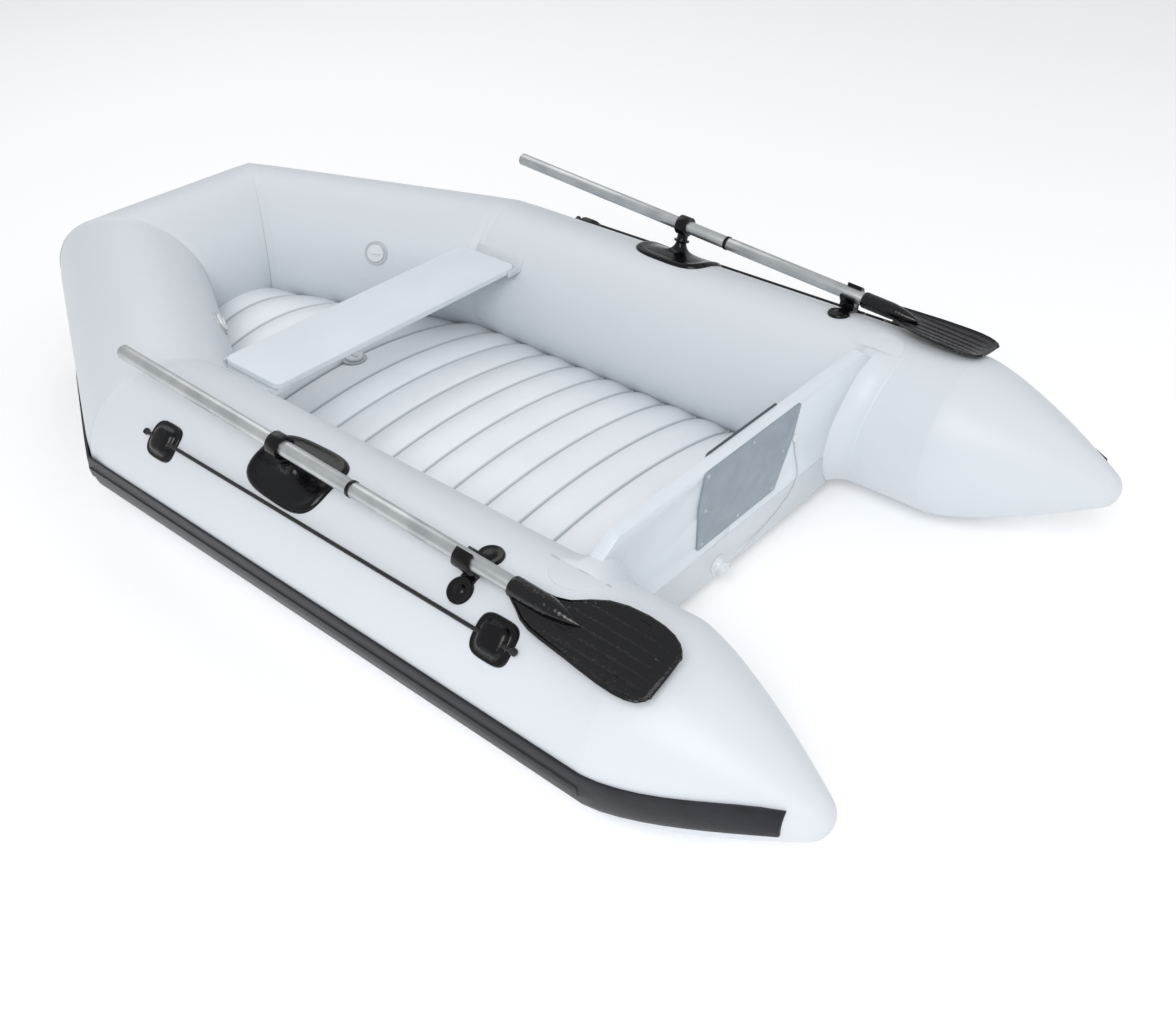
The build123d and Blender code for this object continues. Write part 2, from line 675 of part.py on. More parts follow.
def bottom_skin():
    """Bottom fabric from tube to tube, nearly flat at the transom and in a shallow V over the keel."""
    start = (transom_plane() * Pos(0, down_board(SKIN_STERN_HEIGHT))).position.X
    flat = skin_section(SKIN_STERN_HEIGHT, SKIN_STERN_HEIGHT - SKIN_THICKNESS)
    vee = skin_section(SKIN_EDGE_HEIGHT, SKIN_KEEL_HEIGHT)
    stern = loft([station(start) * flat, station(start + KEEL_SET_IN) * vee], ruled=True)
    return hull_solid(hull_run(vee, start + KEEL_SET_IN, 0, stern))


def keel():
    """Inflated keel tube between the bottom fabric and the floor."""
    start = (transom_plane() * Pos(0, down_board(SKIN_STERN_HEIGHT))).position.X + KEEL_SET_IN
    centre = SKIN_KEEL_HEIGHT + SKIN_THICKNESS + KEEL_DIAMETER / 2
    sketch = Pos(0, centre) * (Circle(KEEL_DIAMETER / 2) - Circle(KEEL_DIAMETER / 2 - FABRIC))
    return hull_solid(hull_run(sketch, start, FLOOR_GAP))


def crown(half, edge, middle):
    """Points across a crowned surface, from edge to edge over its middle height."""
    rise = middle - edge
    radius = (half ** 2 + rise ** 2) / (2 * rise)
    turn = asin(half / radius)
    angles = [turn * (2 * n / FLOOR_STRIPS - 1) for n in range(FLOOR_STRIPS + 1)]
    return [(radius * sin(a), middle - radius * (1 - cos(a))) for a in angles]


def floor_section():
    """Crowned section of the floor."""
    edge_low = SKIN_EDGE_HEIGHT + SKIN_THICKNESS + FLOOR_GAP
    edge_top = edge_low + FLOOR_EDGE_THICKNESS
    half = tube_gap(edge_top) + FLOOR_TUCK
    top = crown(half, edge_top, FLOOR_CROWN_TOP)
    low = crown(half, edge_low, FLOOR_CROWN_BOTTOM)
    return make_face(Polyline(*top, *reversed(low), close=True))


def floor():
    """Inflated floor with a crowned top, cut to fit between the tubes and the transom."""
    run = hull_run(floor_section(), TRANSOM_X - TRANSOM_THICKNESS, FLOOR_GAP)
    front = TRANSOM_THICKNESS + FLOOR_GAP + HOLDER_LIP_WALL
    run -= extrude(transom_plane(front) * Rectangle(2 * TUBE_SPACING, 2 * OVERALL_LENGTH), MARGIN)
    run -= holder_slab(HOLDER_WIDTH / 2 + FLOOR_GAP) & tubes_solid(R + HOLDER_BASE + FLOOR_GAP)
    return hull_solid(run) - floor_valve_well(VALVE_BODY_DIAMETER / 2)


def seat_board():
    """Bench seat board with softened edges."""
    centre = Pos(SEAT_AFT_X + SEAT_DEPTH / 2, 0, SEAT_HEIGHT - SEAT_THICKNESS / 2)
    board = centre * Box(SEAT_DEPTH, SEAT_LENGTH, SEAT_THICKNESS)
    upright = board.edges().filter_by(Axis.Z)
    board = fillet(upright, SEAT_CORNER_FILLET)
    return fillet(board.faces().filter_by(Axis.Z).edges(), SEAT_EDGE_FILLET)


def seat_cradle():
    """Bracket on the tube that carries one end of the seat, with a tab ahead of and behind the board."""
    under = SEAT_HEIGHT - SEAT_THICKNESS - CRADLE_GAP
    outboard = HALF_SPACING
    inboard = SEAT_LENGTH / 2 - CRADLE_REACH
    length = SEAT_DEPTH + 2 * (CRADLE_TAB + CRADLE_GAP)
    middle = SEAT_AFT_X + SEAT_DEPTH / 2
    width = outboard - inboard
    shelf = Pos(middle, inboard + width / 2, under - CRADLE_SHELF / 2) * Box(length, width, CRADLE_SHELF)
    bracket = shelf
    for end in (-1, 1):
        x = middle + end * (length - CRADLE_TAB) / 2
        height = CRADLE_SHELF + CRADLE_TAB_HEIGHT
        tab = Pos(x, (SEAT_LENGTH - CRADLE_TAB_WIDTH) / 2, under - CRADLE_SHELF + height / 2)
        bracket += tab * Box(CRADLE_TAB, CRADLE_TAB_WIDTH, height)
    bracket = bracket - side_rod(R) - bow_rod(R)
    angle = 180 - degrees(asin((under - R) / R))
    pad = surface_pad(middle, angle, RectangleRounded(length - 2 * CRADLE_TAB, CRADLE_PAD_WIDTH, 12), 0, CRADLE_PAD)
    bracket = bracket.solids().sort_by(Axis.Y)[0] + pad
    room = Pos(middle, 0, SEAT_HEIGHT + 100 - SEAT_THICKNESS)
    return bracket - room * Box(SEAT_DEPTH + 2 * CRADLE_GAP, SEAT_LENGTH + 2 * CRADLE_GAP, 200 + 2 * CRADLE_GAP)


def valve_plane(height):
    """Plane on the port bow section's inner face where its valve sits, at a distance from the axis."""
    place = bow_plane(VALVE_ALONG)
    outward = place.x_dir * cos(radians(VALVE_ANGLE)) + place.y_dir * sin(radians(VALVE_ANGLE))
    return Plane(origin=place.origin + outward * height, x_dir=BOW_DIRECTION, z_dir=outward)


def valve_body(place):
    """Valve body: a flange on the fabric and a cup below it."""
    body = extrude(place * Circle(VALVE_FLANGE_DIAMETER / 2), VALVE_FLANGE_THICKNESS)
    body += extrude(place * Circle(VALVE_BODY_DIAMETER / 2), -VALVE_BODY_DEPTH)
    body -= extrude(place.offset(VALVE_FLANGE_THICKNESS) * Circle(VALVE_WELL_DIAMETER / 2),
                    -VALVE_FLANGE_THICKNESS - VALVE_BODY_DEPTH + 6)
    hole = VALVE_BUTTON_DIAMETER / 4 + RUNNING_FIT
    return body - extrude(place * Circle(hole), -VALVE_BODY_DEPTH)


def valve_button(place):
    """Spring valve's push button, standing in the cup on its stem."""
    seat = place.offset(-VALVE_BODY_DEPTH + 6 + VALVE_BUTTON_TRAVEL + 1)
    button = extrude(seat * Circle(VALVE_BUTTON_DIAMETER / 2), VALVE_BUTTON_LENGTH - VALVE_BUTTON_TRAVEL)
    return button + extrude(seat * Circle(VALVE_BUTTON_DIAMETER / 4), -VALVE_BODY_DEPTH / 2)


def valve_cap(place):
    """Valve cap with a plug that goes into the cup and a finger bar on top."""
    top = place.offset(VALVE_FLANGE_THICKNESS)
    cap = extrude(top * Circle(VALVE_CAP_DIAMETER / 2), VALVE_CAP_THICKNESS)
    cap = fillet(cap.faces().sort_by_distance(place.origin)[-1].edges(), 2)
    cap += extrude(top * Circle(VALVE_WELL_DIAMETER / 2 - RUNNING_FIT), -VALVE_CAP_PLUG_LENGTH)
    bar = top.offset(VALVE_CAP_THICKNESS) * RectangleRounded(VALVE_CAP_DIAMETER * 0.6, 5, 2)
    return cap + extrude(bar, 3)


def bow_valve_body():
    """Port bow valve body, with a skirt under its flange that fits the round tube."""
    place = valve_plane(R)
    sink = R - (R ** 2 - (VALVE_FLANGE_DIAMETER / 2) ** 2) ** 0.5
    skirt_ring = Circle(VALVE_FLANGE_DIAMETER / 2) - Circle(VALVE_BODY_DIAMETER / 2)
    return valve_body(place) + (extrude(place * skirt_ring, -sink) - bow_rod(R))


def floor_valve_place():
    """Seat of the floor valve on the crowned floor."""
    rise = (FLOOR_VALVE_X - MITRE_X) * BOW_RISE / BOW_RUN
    return Plane(origin=(FLOOR_VALVE_X, 0, FLOOR_CROWN_TOP + max(rise, 0) + 1), x_dir=(1, 0, 0), z_dir=(0, 0, 1))


def floor_valve_well(radius):
    """Room that the floor valve takes from the floor."""
    place = floor_valve_place()
    flange = extrude(place * Circle(VALVE_FLANGE_DIAMETER / 2), VALVE_FLANGE_THICKNESS)
    return flange + extrude(place * Circle(radius), -VALVE_BODY_DEPTH - 2 * VALVE_BUTTON_TRAVEL)


def oar_axis_plane(reach):
    """Plane across the port oar at a distance forward of the rowlock, with local y away from the tube."""
    angle = radians(OAR_ANGLE)
    outward = Vector(0, cos(angle), sin(angle))
    tangent = Vector(0, sin(angle), -cos(angle))
    tilt = radians(OAR_TILT)
    along = Vector(1, 0, 0) * cos(tilt) + outward * sin(tilt)
    origin = Vector(ROWLOCK_X, HALF_SPACING, R) + outward * (R + ROWLOCK_HEIGHT) + along * reach
    return Plane(origin=origin, x_dir=tangent, z_dir=along)


def oar_rod(radius, start, end):
    """Cylinder on the oar's axis between two distances forward of the rowlock."""
    return extrude(oar_axis_plane(start) * Circle(radius), end - start)


def handle_tube():
    """Forward half of the shaft, with the spigot that enters the blade half."""
    tube = oar_rod(SHAFT_RADIUS, -JOINT_REACH, HANDLE_REACH)
    tube -= oar_rod(SHAFT_RADIUS - SHAFT_WALL, -JOINT_REACH, HANDLE_REACH)
    spigot = oar_rod(SHAFT_RADIUS - SHAFT_WALL, -JOINT_REACH, -JOINT_REACH + SPIGOT_LENGTH / 2)
    spigot += oar_rod(SPIGOT_DIAMETER / 2, -JOINT_REACH - SPIGOT_LENGTH, -JOINT_REACH)
    spigot -= oar_rod(SPIGOT_DIAMETER / 2 - SHAFT_WALL, -JOINT_REACH - SPIGOT_LENGTH, HANDLE_REACH)
    return tube + spigot


def blade_tube():
    """Aft half of the shaft."""
    tail = -BLADE_START - SLEEVE_OVERLAP
    tube = oar_rod(SHAFT_RADIUS, tail, -JOINT_REACH)
    return tube - oar_rod(SHAFT_RADIUS - SHAFT_WALL, tail, -JOINT_REACH)


def joint_collar():
    """Dark collar on the end of the blade half, where the two halves meet."""
    collar = oar_rod(COLLAR_DIAMETER / 2, -JOINT_REACH - COLLAR_LENGTH, -JOINT_REACH)
    return collar - oar_rod(SHAFT_RADIUS, -JOINT_REACH - COLLAR_LENGTH, -JOINT_REACH)


def blade():
    """Moulded spoon blade with a socket for the shaft."""
    start = -BLADE_START
    socket = oar_rod(SLEEVE_DIAMETER / 2, start - SLEEVE_LENGTH, start)
    face_start = BLADE_START + SLEEVE_LENGTH * 0.55
    length = OAR_TAIL - face_start
    half = BLADE_WIDTH / 2
    outline = make_face(Spline((-SLEEVE_DIAMETER / 3, 0), (-half * 0.92, length * 0.3), (-half, length * 0.62),
                               (-half * 0.72, length * 0.95)) + Line((-half * 0.72, length * 0.95), (0, length))
                        + Line((0, length), (half * 0.72, length * 0.95))
                        + Spline((half * 0.72, length * 0.95), (half, length * 0.62), (half * 0.92, length * 0.3),
                                 (SLEEVE_DIAMETER / 3, 0)) + Line((SLEEVE_DIAMETER / 3, 0), (-SLEEVE_DIAMETER / 3, 0)))
    across = oar_axis_plane(-face_start)
    flat = Plane(origin=across.origin, x_dir=across.x_dir, z_dir=across.y_dir)
    prism = extrude(flat * outline, MARGIN / 4, both=True)
    radius = (half ** 2 + BLADE_HOLLOW ** 2) / (2 * BLADE_HOLLOW)
    centre = Pos(0, radius - BLADE_HOLLOW / 2)
    shell = Circle(radius + BLADE_THICKNESS / 2) - Circle(radius - BLADE_THICKNESS / 2)
    trough = extrude(oar_axis_plane(-OAR_TAIL - 1) * centre * shell, length + 2)
    spoon = (prism & trough).solids().sort_by_distance(across.origin)[0]
    return socket + spoon - oar_rod(SHAFT_RADIUS, start - SLEEVE_OVERLAP, start)


def lock_base():
    """Moulded rowlock base glued to the tube, with a post bored for the rowlock's pin."""
    sketch = RectangleRounded(LOCK_BASE_LENGTH, LOCK_BASE_WIDTH, LOCK_BASE_FILLET)
    base = surface_pad(ROWLOCK_X, OAR_ANGLE, sketch, 0, LOCK_BASE_THICKNESS)
    foot = surface_plane(ROWLOCK_X, OAR_ANGLE, R)
    post = loft([foot * Circle(LOCK_POST_FOOT_RADIUS), foot.offset(LOCK_POST_HEIGHT) * Circle(LOCK_POST_HEAD_RADIUS)])
    post -= side_rod(R)
    bore = foot.offset(LOCK_POST_HEIGHT) * Circle(LOCK_PIN_DIAMETER / 2 + RUNNING_FIT)
    return base + post - extrude(bore, -LOCK_PIN_LENGTH - 1)


def lock_ring():
    """Swivelling rowlock: a pin, a flange and a closed ring round the shaft."""
    head = surface_plane(ROWLOCK_X, OAR_ANGLE, R + LOCK_POST_HEIGHT + LOCK_GAP)
    ring = extrude(head * Circle(LOCK_PIN_DIAMETER / 2), -LOCK_PIN_LENGTH)
    ring += extrude(head * Circle(LOCK_POST_HEAD_RADIUS), LOCK_FLANGE_THICKNESS)
    ring += extrude(head * Circle(LOCK_NECK_RADIUS), ROWLOCK_HEIGHT - LOCK_POST_HEIGHT - SHAFT_RADIUS)
    ring += oar_rod(SHAFT_RADIUS + LOCK_RING_WALL, -LOCK_RING_WIDTH / 2, LOCK_RING_WIDTH / 2)
    return ring - oar_rod(SHAFT_RADIUS, -LOCK_RING_WIDTH, LOCK_RING_WIDTH)


def keeper_reach():
    """Distance forward of the rowlock, along the oar, at the keeper."""
    return (KEEPER_X - ROWLOCK_X) / cos(radians(OAR_TILT))


def keeper_base():
    """Two round pads of the oar keeper, with the strap that joins them."""
    parts = []
    for turn in (-KEEPER_PAD_ANGLE, KEEPER_PAD_ANGLE):
        parts.append(surface_pad(KEEPER_X, OAR_ANGLE + turn, Circle(KEEPER_PAD_RADIUS), 0, KEEPER_PAD_THICKNESS))
    across = 2 * R * sin(radians(KEEPER_PAD_ANGLE))
    strap = surface_pad(KEEPER_X, OAR_ANGLE, Rectangle(KEEPER_STRAP_WIDTH, across), 0, KEEPER_PAD_THICKNESS)
    return parts[0] + parts[1] + strap


def keeper_clip():
    """Open clip that the shaft snaps into, on a short pillar."""
    half = KEEPER_CLIP_WIDTH / 2
    inner = SHAFT_RADIUS + KEEPER_CLIP_GAP
    outer = inner + KEEPER_CLIP_WALL
    reach = keeper_reach()
    place = oar_axis_plane(reach - half)
    ring = extrude(place * (Circle(outer) - Circle(inner)), KEEPER_CLIP_WIDTH)
    mouth = [(0, 0)]
    for turn in (-KEEPER_MOUTH / 2, 0, KEEPER_MOUTH / 2):
        mouth.append(polar(3 * outer, 90 + KEEPER_MOUTH_TURN + turn))
    ring -= extrude(place * make_face(Polyline(*mouth, close=True)), KEEPER_CLIP_WIDTH)
    centre = oar_axis_plane(reach).origin
    height = hypot(centre.Y - HALF_SPACING, centre.Z - R)
    pillar = extrude(surface_plane(KEEPER_X, OAR_ANGLE, R + KEEPER_PAD_THICKNESS - 3)
                     * Rectangle(KEEPER_CLIP_WIDTH, 2 * KEEPER_CLIP_WALL + 12), height - R - KEEPER_PAD_THICKNESS + 3)
    pillar -= oar_rod(inner, reach - 2 * KEEPER_CLIP_WIDTH, reach + 2 * KEEPER_CLIP_WIDTH)
    pillar -= side_rod(R + KEEPER_PAD_THICKNESS)
    return ring + pillar


def rope_pad(x):
    """Moulded pad that holds one end of a grab line."""
    flange = surface_pad(x, ROPE_ANGLE, RectangleRounded(PAD_LENGTH, PAD_WIDTH, PAD_FILLET), 0, PAD_FLANGE)
    share = PAD_DOME_SHARE
    dome = RectangleRounded(PAD_LENGTH * share, PAD_WIDTH * share, PAD_FILLET * share)
    pad = flange + surface_pad(x, ROPE_ANGLE, dome, 0, PAD_DOME)
    return pad - rope_rod(x - PAD_LENGTH, x + PAD_LENGTH)


def rope_rod(start, end):
    """Stretch of the grab line between two stations along the tube."""
    place = Plane(origin=surface_plane(start, ROPE_ANGLE, R + ROPE_HEIGHT).origin, z_dir=(1, 0, 0))
    return extrude(place * Circle(ROPE_DIAMETER / 2), end - start)


def grab_rope():
    """Taut grab line through both pads, with a stopper knot past each of them."""
    reach = PAD_LENGTH * PAD_DOME_SHARE / 2 + ROPE_TAIL
    rope = rope_rod(ROPE_AFT_X - reach, ROPE_FORE_X + reach)
    for x in (ROPE_AFT_X - reach, ROPE_FORE_X + reach):
        place = Plane(origin=surface_plane(x, ROPE_ANGLE, R + ROPE_HEIGHT).origin, z_dir=(1, 0, 0))
        knot = extrude(place * Circle(KNOT_RADIUS), KNOT_RADIUS, both=True)
        rope += fillet(knot.edges(), KNOT_RADIUS / 2)
    return rope


def port_parts():
    """Every part that has a mirrored twin, by name."""
    place = valve_plane(R)
    pads = [rope_pad(ROPE_FORE_X), rope_pad(ROPE_AFT_X)]
    return {
        "tube": side_tube(),
        "bow_tube": bow_tube(),
        "cone": cone_wall(),
        "cone_cap": cone_cap(),
        "rub_strake": side_strake() + stern_strake(),
        "transom_holder": transom_holder(),
        "bow_valve_body": bow_valve_body(),
        "bow_valve_button": valve_button(place),
        "bow_valve_cap": valve_cap(place),
        "rowlock_base": lock_base(),
        "rowlock_ring": lock_ring(),
        "oar_keeper_base": keeper_base(),
        "oar_keeper_clip": keeper_clip(),
        "oar_handle": handle_tube(),
        "oar_blade_tube": blade_tube(),
        "oar_collar": joint_collar(),
        "oar_blade": blade(),
        "rope_pads": group(pads),
        "grab_rope": grab_rope(),
    }


def group(shapes):
    """Separate pieces kept together under one name."""
    return Compound(children=[solid for shape in shapes for solid in shape.solids()])


def slid(shape):
    """A port oar piece where its starboard twin sits: pushed forward through the rowlock and turned."""
    here = oar_axis_plane(0)
    turn = Location(here) * Rot(0, 0, FAR_OAR_TWIST) * Location(here).inverse()
    return group([solid.moved(turn).moved(Location(here.z_dir * FAR_OAR_SLIDE)) for solid in shape.solids()])


def starboard(shape):
    """The mirrored twin of a port piece."""
    return group([solid.mirror(Plane.XZ) for solid in shape.solids()])


def pair(shape):
    """A port piece and its mirrored twin in one group."""
    return group([shape, starboard(shape)])


def centre_parts():
    """Every part that stands alone, by name."""
    place = floor_valve_place()
    return {
        "front_tube": front_tube(),
        "bulkhead": bulkhead(),
        "bow_strake": group(bow_strake()),
        "bottom_skin": bottom_skin(),
        "keel": keel(),
        "floor": floor(),
        "transom_board": transom_board(),
        "transom_patches": pair(round_patch()),
        "transom_skirt": skirt(),
        "motor_plate_outer": outer_plate(),
        "motor_plate_inner": inner_plate(),
        "plate_screws": group(plate_screws()),
        "drain_body": drain_body(),
        "drain_plug": drain_plug(),
        "drain_lanyard": lanyard(),
        "lanyard_anchor": lanyard_anchor(),
        "seat_board": seat_board(),
        "seat_cradles": pair(seat_cradle()),
        "floor_valve_body": valve_body(place),
        "floor_valve_button": valve_button(place),
        "floor_valve_cap": valve_cap(place),
    }


SLIDING = ("oar_handle", "oar_blade_tube", "oar_collar", "oar_blade")


def write_parts():
    """Write each part to its own STEP file."""
    os.makedirs("parts", exist_ok=True)
    for name, shape in centre_parts().items():
        export_step(shape, f"parts/{name}.step")
    for name, shape in port_parts().items():
        export_step(shape, f"parts/{name}_port.step")
        twin = slid(shape) if name in SLIDING else shape
        export_step(starboard(twin), f"parts/{name}_starboard.step")


write_parts()
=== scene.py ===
import json
from math import atan, atan2, cos, exp, pi, radians, sin, tau

import bmesh
import bpy
from mathutils import Matrix, Vector

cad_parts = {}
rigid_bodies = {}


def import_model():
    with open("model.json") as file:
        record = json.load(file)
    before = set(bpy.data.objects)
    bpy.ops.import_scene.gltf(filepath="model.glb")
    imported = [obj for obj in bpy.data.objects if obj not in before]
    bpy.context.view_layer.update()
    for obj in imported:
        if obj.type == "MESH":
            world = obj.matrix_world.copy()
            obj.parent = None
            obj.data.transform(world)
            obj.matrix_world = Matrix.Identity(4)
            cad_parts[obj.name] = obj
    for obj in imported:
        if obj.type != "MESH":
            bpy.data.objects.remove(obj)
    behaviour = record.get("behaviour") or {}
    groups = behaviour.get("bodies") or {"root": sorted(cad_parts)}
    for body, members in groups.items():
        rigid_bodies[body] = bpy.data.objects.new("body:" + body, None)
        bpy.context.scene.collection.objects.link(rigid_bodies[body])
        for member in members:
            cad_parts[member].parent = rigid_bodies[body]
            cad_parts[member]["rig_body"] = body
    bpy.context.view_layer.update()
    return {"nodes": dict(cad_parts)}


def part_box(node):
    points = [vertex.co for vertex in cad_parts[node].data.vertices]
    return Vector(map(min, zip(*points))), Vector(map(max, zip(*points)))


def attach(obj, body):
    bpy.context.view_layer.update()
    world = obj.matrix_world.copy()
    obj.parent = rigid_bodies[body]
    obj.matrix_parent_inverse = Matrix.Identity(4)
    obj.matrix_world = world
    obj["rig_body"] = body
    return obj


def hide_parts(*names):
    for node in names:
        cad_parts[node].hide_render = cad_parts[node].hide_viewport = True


bl_info = {
    "name": "Inflatable dinghy",
    "version": (1, 0, 0),
    "blender": (4, 5, 0),
    "location": "View3D > Sidebar > Dinghy",
    "description": "Builds an inflatable dinghy's fabric, mouldings, oars and cords round its packed frame",
    "category": "Object",
}

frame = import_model()
SIDES = ("port", "starboard")

# The hull's own sizes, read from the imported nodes, in metres.
TUBE_LOW, TUBE_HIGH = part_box("tube_port")
FRONT_LOW, FRONT_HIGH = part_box("front_tube")
CAP_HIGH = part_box("cone_cap_port")[1]
FLOOR_LOW, FLOOR_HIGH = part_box("floor")
TUBE_RADIUS = (TUBE_HIGH.y - TUBE_LOW.y) / 2
TUBE_Y = (TUBE_HIGH.y + TUBE_LOW.y) / 2
TUBE_Z = (TUBE_HIGH.z + TUBE_LOW.z) / 2
STERN_X = TUBE_LOW.x

# The transom leans aft at its top. Turns round the tube are in degrees up from outboard.
RAKE = radians(8.5)
BOARD_THICKNESS = 0.027
FITTING_TURN = 71
LINE_TURN = 45
HULL_SEGMENTS = 96


class HullSizes(bpy.types.PropertyGroup):
    """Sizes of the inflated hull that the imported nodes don't give."""
    bow_front: bpy.props.FloatProperty(
        name="Front width", description="Length of the front section's centre line",
        default=0.43, unit="LENGTH")
    bow_angle: bpy.props.FloatProperty(
        name="Bow angle", description="Plan angle of the bow sections",
        default=radians(27.4), subtype="ANGLE")
    seam_pinch: bpy.props.FloatProperty(
        name="Seam pinch", description="How far a joint pulls the fabric in on the outside of its bend",
        default=0.005, unit="LENGTH")
    seam_reach: bpy.props.FloatProperty(
        name="Seam reach", description="How far along the tube a joint's pinch fades out",
        default=0.045, unit="LENGTH")
    tape_width: bpy.props.FloatProperty(
        name="Seam tape width", description="Width of the tape glued over each joint",
        default=0.04, unit="LENGTH")
    tape_height: bpy.props.FloatProperty(
        name="Seam tape height", description="Thickness of the tape",
        default=0.0005, unit="LENGTH")
    cone_length: bpy.props.FloatProperty(
        name="Cone length", description="Length of the stern cone ahead of its rounded tip",
        default=0.35, unit="LENGTH")
    cone_end: bpy.props.FloatProperty(
        name="Cone end radius", description="Radius of the stern cone where its rounded tip starts",
        default=0.04, unit="LENGTH")
    cone_toe: bpy.props.FloatProperty(
        name="Cone toe", description="How far the cone leans outboard at its end",
        default=0.008, unit="LENGTH")
    cone_swell: bpy.props.FloatProperty(
        name="Cone swell", description="Above 1 the cone's side bulges outward",
        default=1.35)


class FloorSizes(bpy.types.PropertyGroup):
    """Sizes of the quilted air floor."""
    groove_pitch: bpy.props.FloatProperty(
        name="Groove pitch", description="Distance between two sewn grooves",
        default=0.104, unit="LENGTH")
    groove_start: bpy.props.FloatProperty(
        name="Groove start", description="Place of one groove along the boat",
        default=-0.116, unit="LENGTH")
    groove_depth: bpy.props.FloatProperty(
        name="Groove depth", description="How far the floor swells between its grooves",
        default=0.019, unit="LENGTH")
    edge_drop: bpy.props.FloatProperty(
        name="Edge drop", description="How far each channel's end rolls down beside the tube",
        default=0.02, unit="LENGTH")


class FittingSizes(bpy.types.PropertyGroup):
    """Sizes of the moulded fittings and cords."""
    lock_length: bpy.props.FloatProperty(
        name="Rowlock base length", description="Length of the rowlock's base along the tube",
        default=0.226, unit="LENGTH")
    lock_width: bpy.props.FloatProperty(
        name="Rowlock base width", description="Width of the rowlock's base round the tube",
        default=0.158, unit="LENGTH")
    pad_length: bpy.props.FloatProperty(
        name="Grab line pad length", description="Length of a grab line's pad",
        default=0.092, unit="LENGTH")
    pad_width: bpy.props.FloatProperty(
        name="Grab line pad width", description="Width of a grab line's pad",
        default=0.084, unit="LENGTH")
    rope_diameter: bpy.props.FloatProperty(
        name="Grab line diameter", description="Diameter of the grab line",
        default=0.008, unit="LENGTH")
    lanyard_diameter: bpy.props.FloatProperty(
        name="Lanyard diameter", description="Diameter of the drain plug's cord",
        default=0.003, unit="LENGTH")
    far_slide: bpy.props.FloatProperty(
        name="Far oar slide", description="How far forward the starboard oar sits in its rowlock",
        default=0.072, unit="LENGTH")
    far_twist: bpy.props.FloatProperty(
        name="Far oar twist", description="How far the starboard blade is turned",
        default=radians(11), subtype="ANGLE")
    bevel: bpy.props.FloatProperty(
        name="Edge rounding", description="Rounding on the edges of moulded and cut pieces",
        default=0.0015, unit="LENGTH")


class FinishColours(bpy.types.PropertyGroup):
    """Colours of the main finishes."""
    fabric: bpy.props.StringProperty(
        name="Fabric", description="Coated fabric's colour", default="#D6DBE0")
    strake: bpy.props.StringProperty(
        name="Strake", description="Rub strake's colour", default="#1A1B20")
    moulding: bpy.props.StringProperty(
        name="Moulding", description="Black mouldings' colour", default="#08080A")
    plate: bpy.props.StringProperty(
        name="Motor plate", description="Motor plate's colour", default="#94A0AA")


# ---------------------------------------------------------------- materials

def linear(code):
    """An sRGB hex colour as linear RGBA."""
    channels = [int(code[n:n + 2], 16) / 255 for n in (1, 3, 5)]
    return tuple(c / 12.92 if c <= 0.04045 else ((c + 0.055) / 1.055) ** 2.4 for c in channels) + (1.0,)


def add_node(tree, kind, settings=None, links=None):
    """Adds a node, sets its sockets or properties, and links sockets into it."""
    node = tree.nodes.new(kind)
    for key, value in (settings or {}).items():
        if isinstance(key, str) and hasattr(node, key):
            setattr(node, key, value)
        else:
            node.inputs[key].default_value = value
    for key, socket in (links or {}).items():
        tree.links.new(socket, node.inputs[key])
    return node


def finish_base(name, colour, roughness, **sockets):
    """A new material with one Principled shader set on its own sockets."""
    material = bpy.data.materials.new(name)
    material.use_nodes = True
    tree = material.node_tree
    shader = tree.nodes["Principled BSDF"]
    shader.inputs["Base Color"].default_value = linear(colour)
    shader.inputs["Roughness"].default_value = roughness
    for key, value in sockets.items():
        shader.inputs[key.replace("_", " ").title().replace("Ior", "IOR")].default_value = value
    coords = add_node(tree, "ShaderNodeTexCoord").outputs["Object"]
    return material, tree, shader, coords


def per_metre(millimetres):
    """A noise scale whose features are about that many millimetres across."""
    return 1000.0 / millimetres


def mottle(tree, shader, coords, first, second, millimetres, detail=3.0):
    """Base colour that drifts between two shades over a real distance."""
    field = add_node(tree, "ShaderNodeTexNoise", {"Scale": per_metre(millimetres), "Detail": detail},
                     {"Vector": coords})
    ramp = add_node(tree, "ShaderNodeValToRGB", links={"Fac": field.outputs["Fac"]})
    ramp.color_ramp.elements[0].position = 0.3
    ramp.color_ramp.elements[1].position = 0.7
    ramp.color_ramp.elements[0].color = linear(first)
    ramp.color_ramp.elements[1].color = linear(second)
    tree.links.new(ramp.outputs["Color"], shader.inputs["Base Color"])


def relief(tree, shader, height, distance, strength=1.0, before=None):
    """Bump of a real depth in metres, laid over another bump if one is given."""
    links = {"Height": height}
    if before:
        links["Normal"] = before.outputs["Normal"]
    bump = add_node(tree, "ShaderNodeBump", {"Strength": strength, "Distance": distance}, links)
    tree.links.new(bump.outputs["Normal"], shader.inputs["Normal"])
    return bump


def roughness_patches(tree, shader, coords, low, high, millimetres):
    """Roughness that varies from handling over a real distance."""
    field = add_node(tree, "ShaderNodeTexNoise", {"Scale": per_metre(millimetres), "Detail": 4.0},
                     {"Vector": coords})
    span = add_node(tree, "ShaderNodeMapRange", {"To Min": low, "To Max": high},
                    {"Value": field.outputs["Fac"]})
    tree.links.new(span.outputs["Result"], shader.inputs["Roughness"])


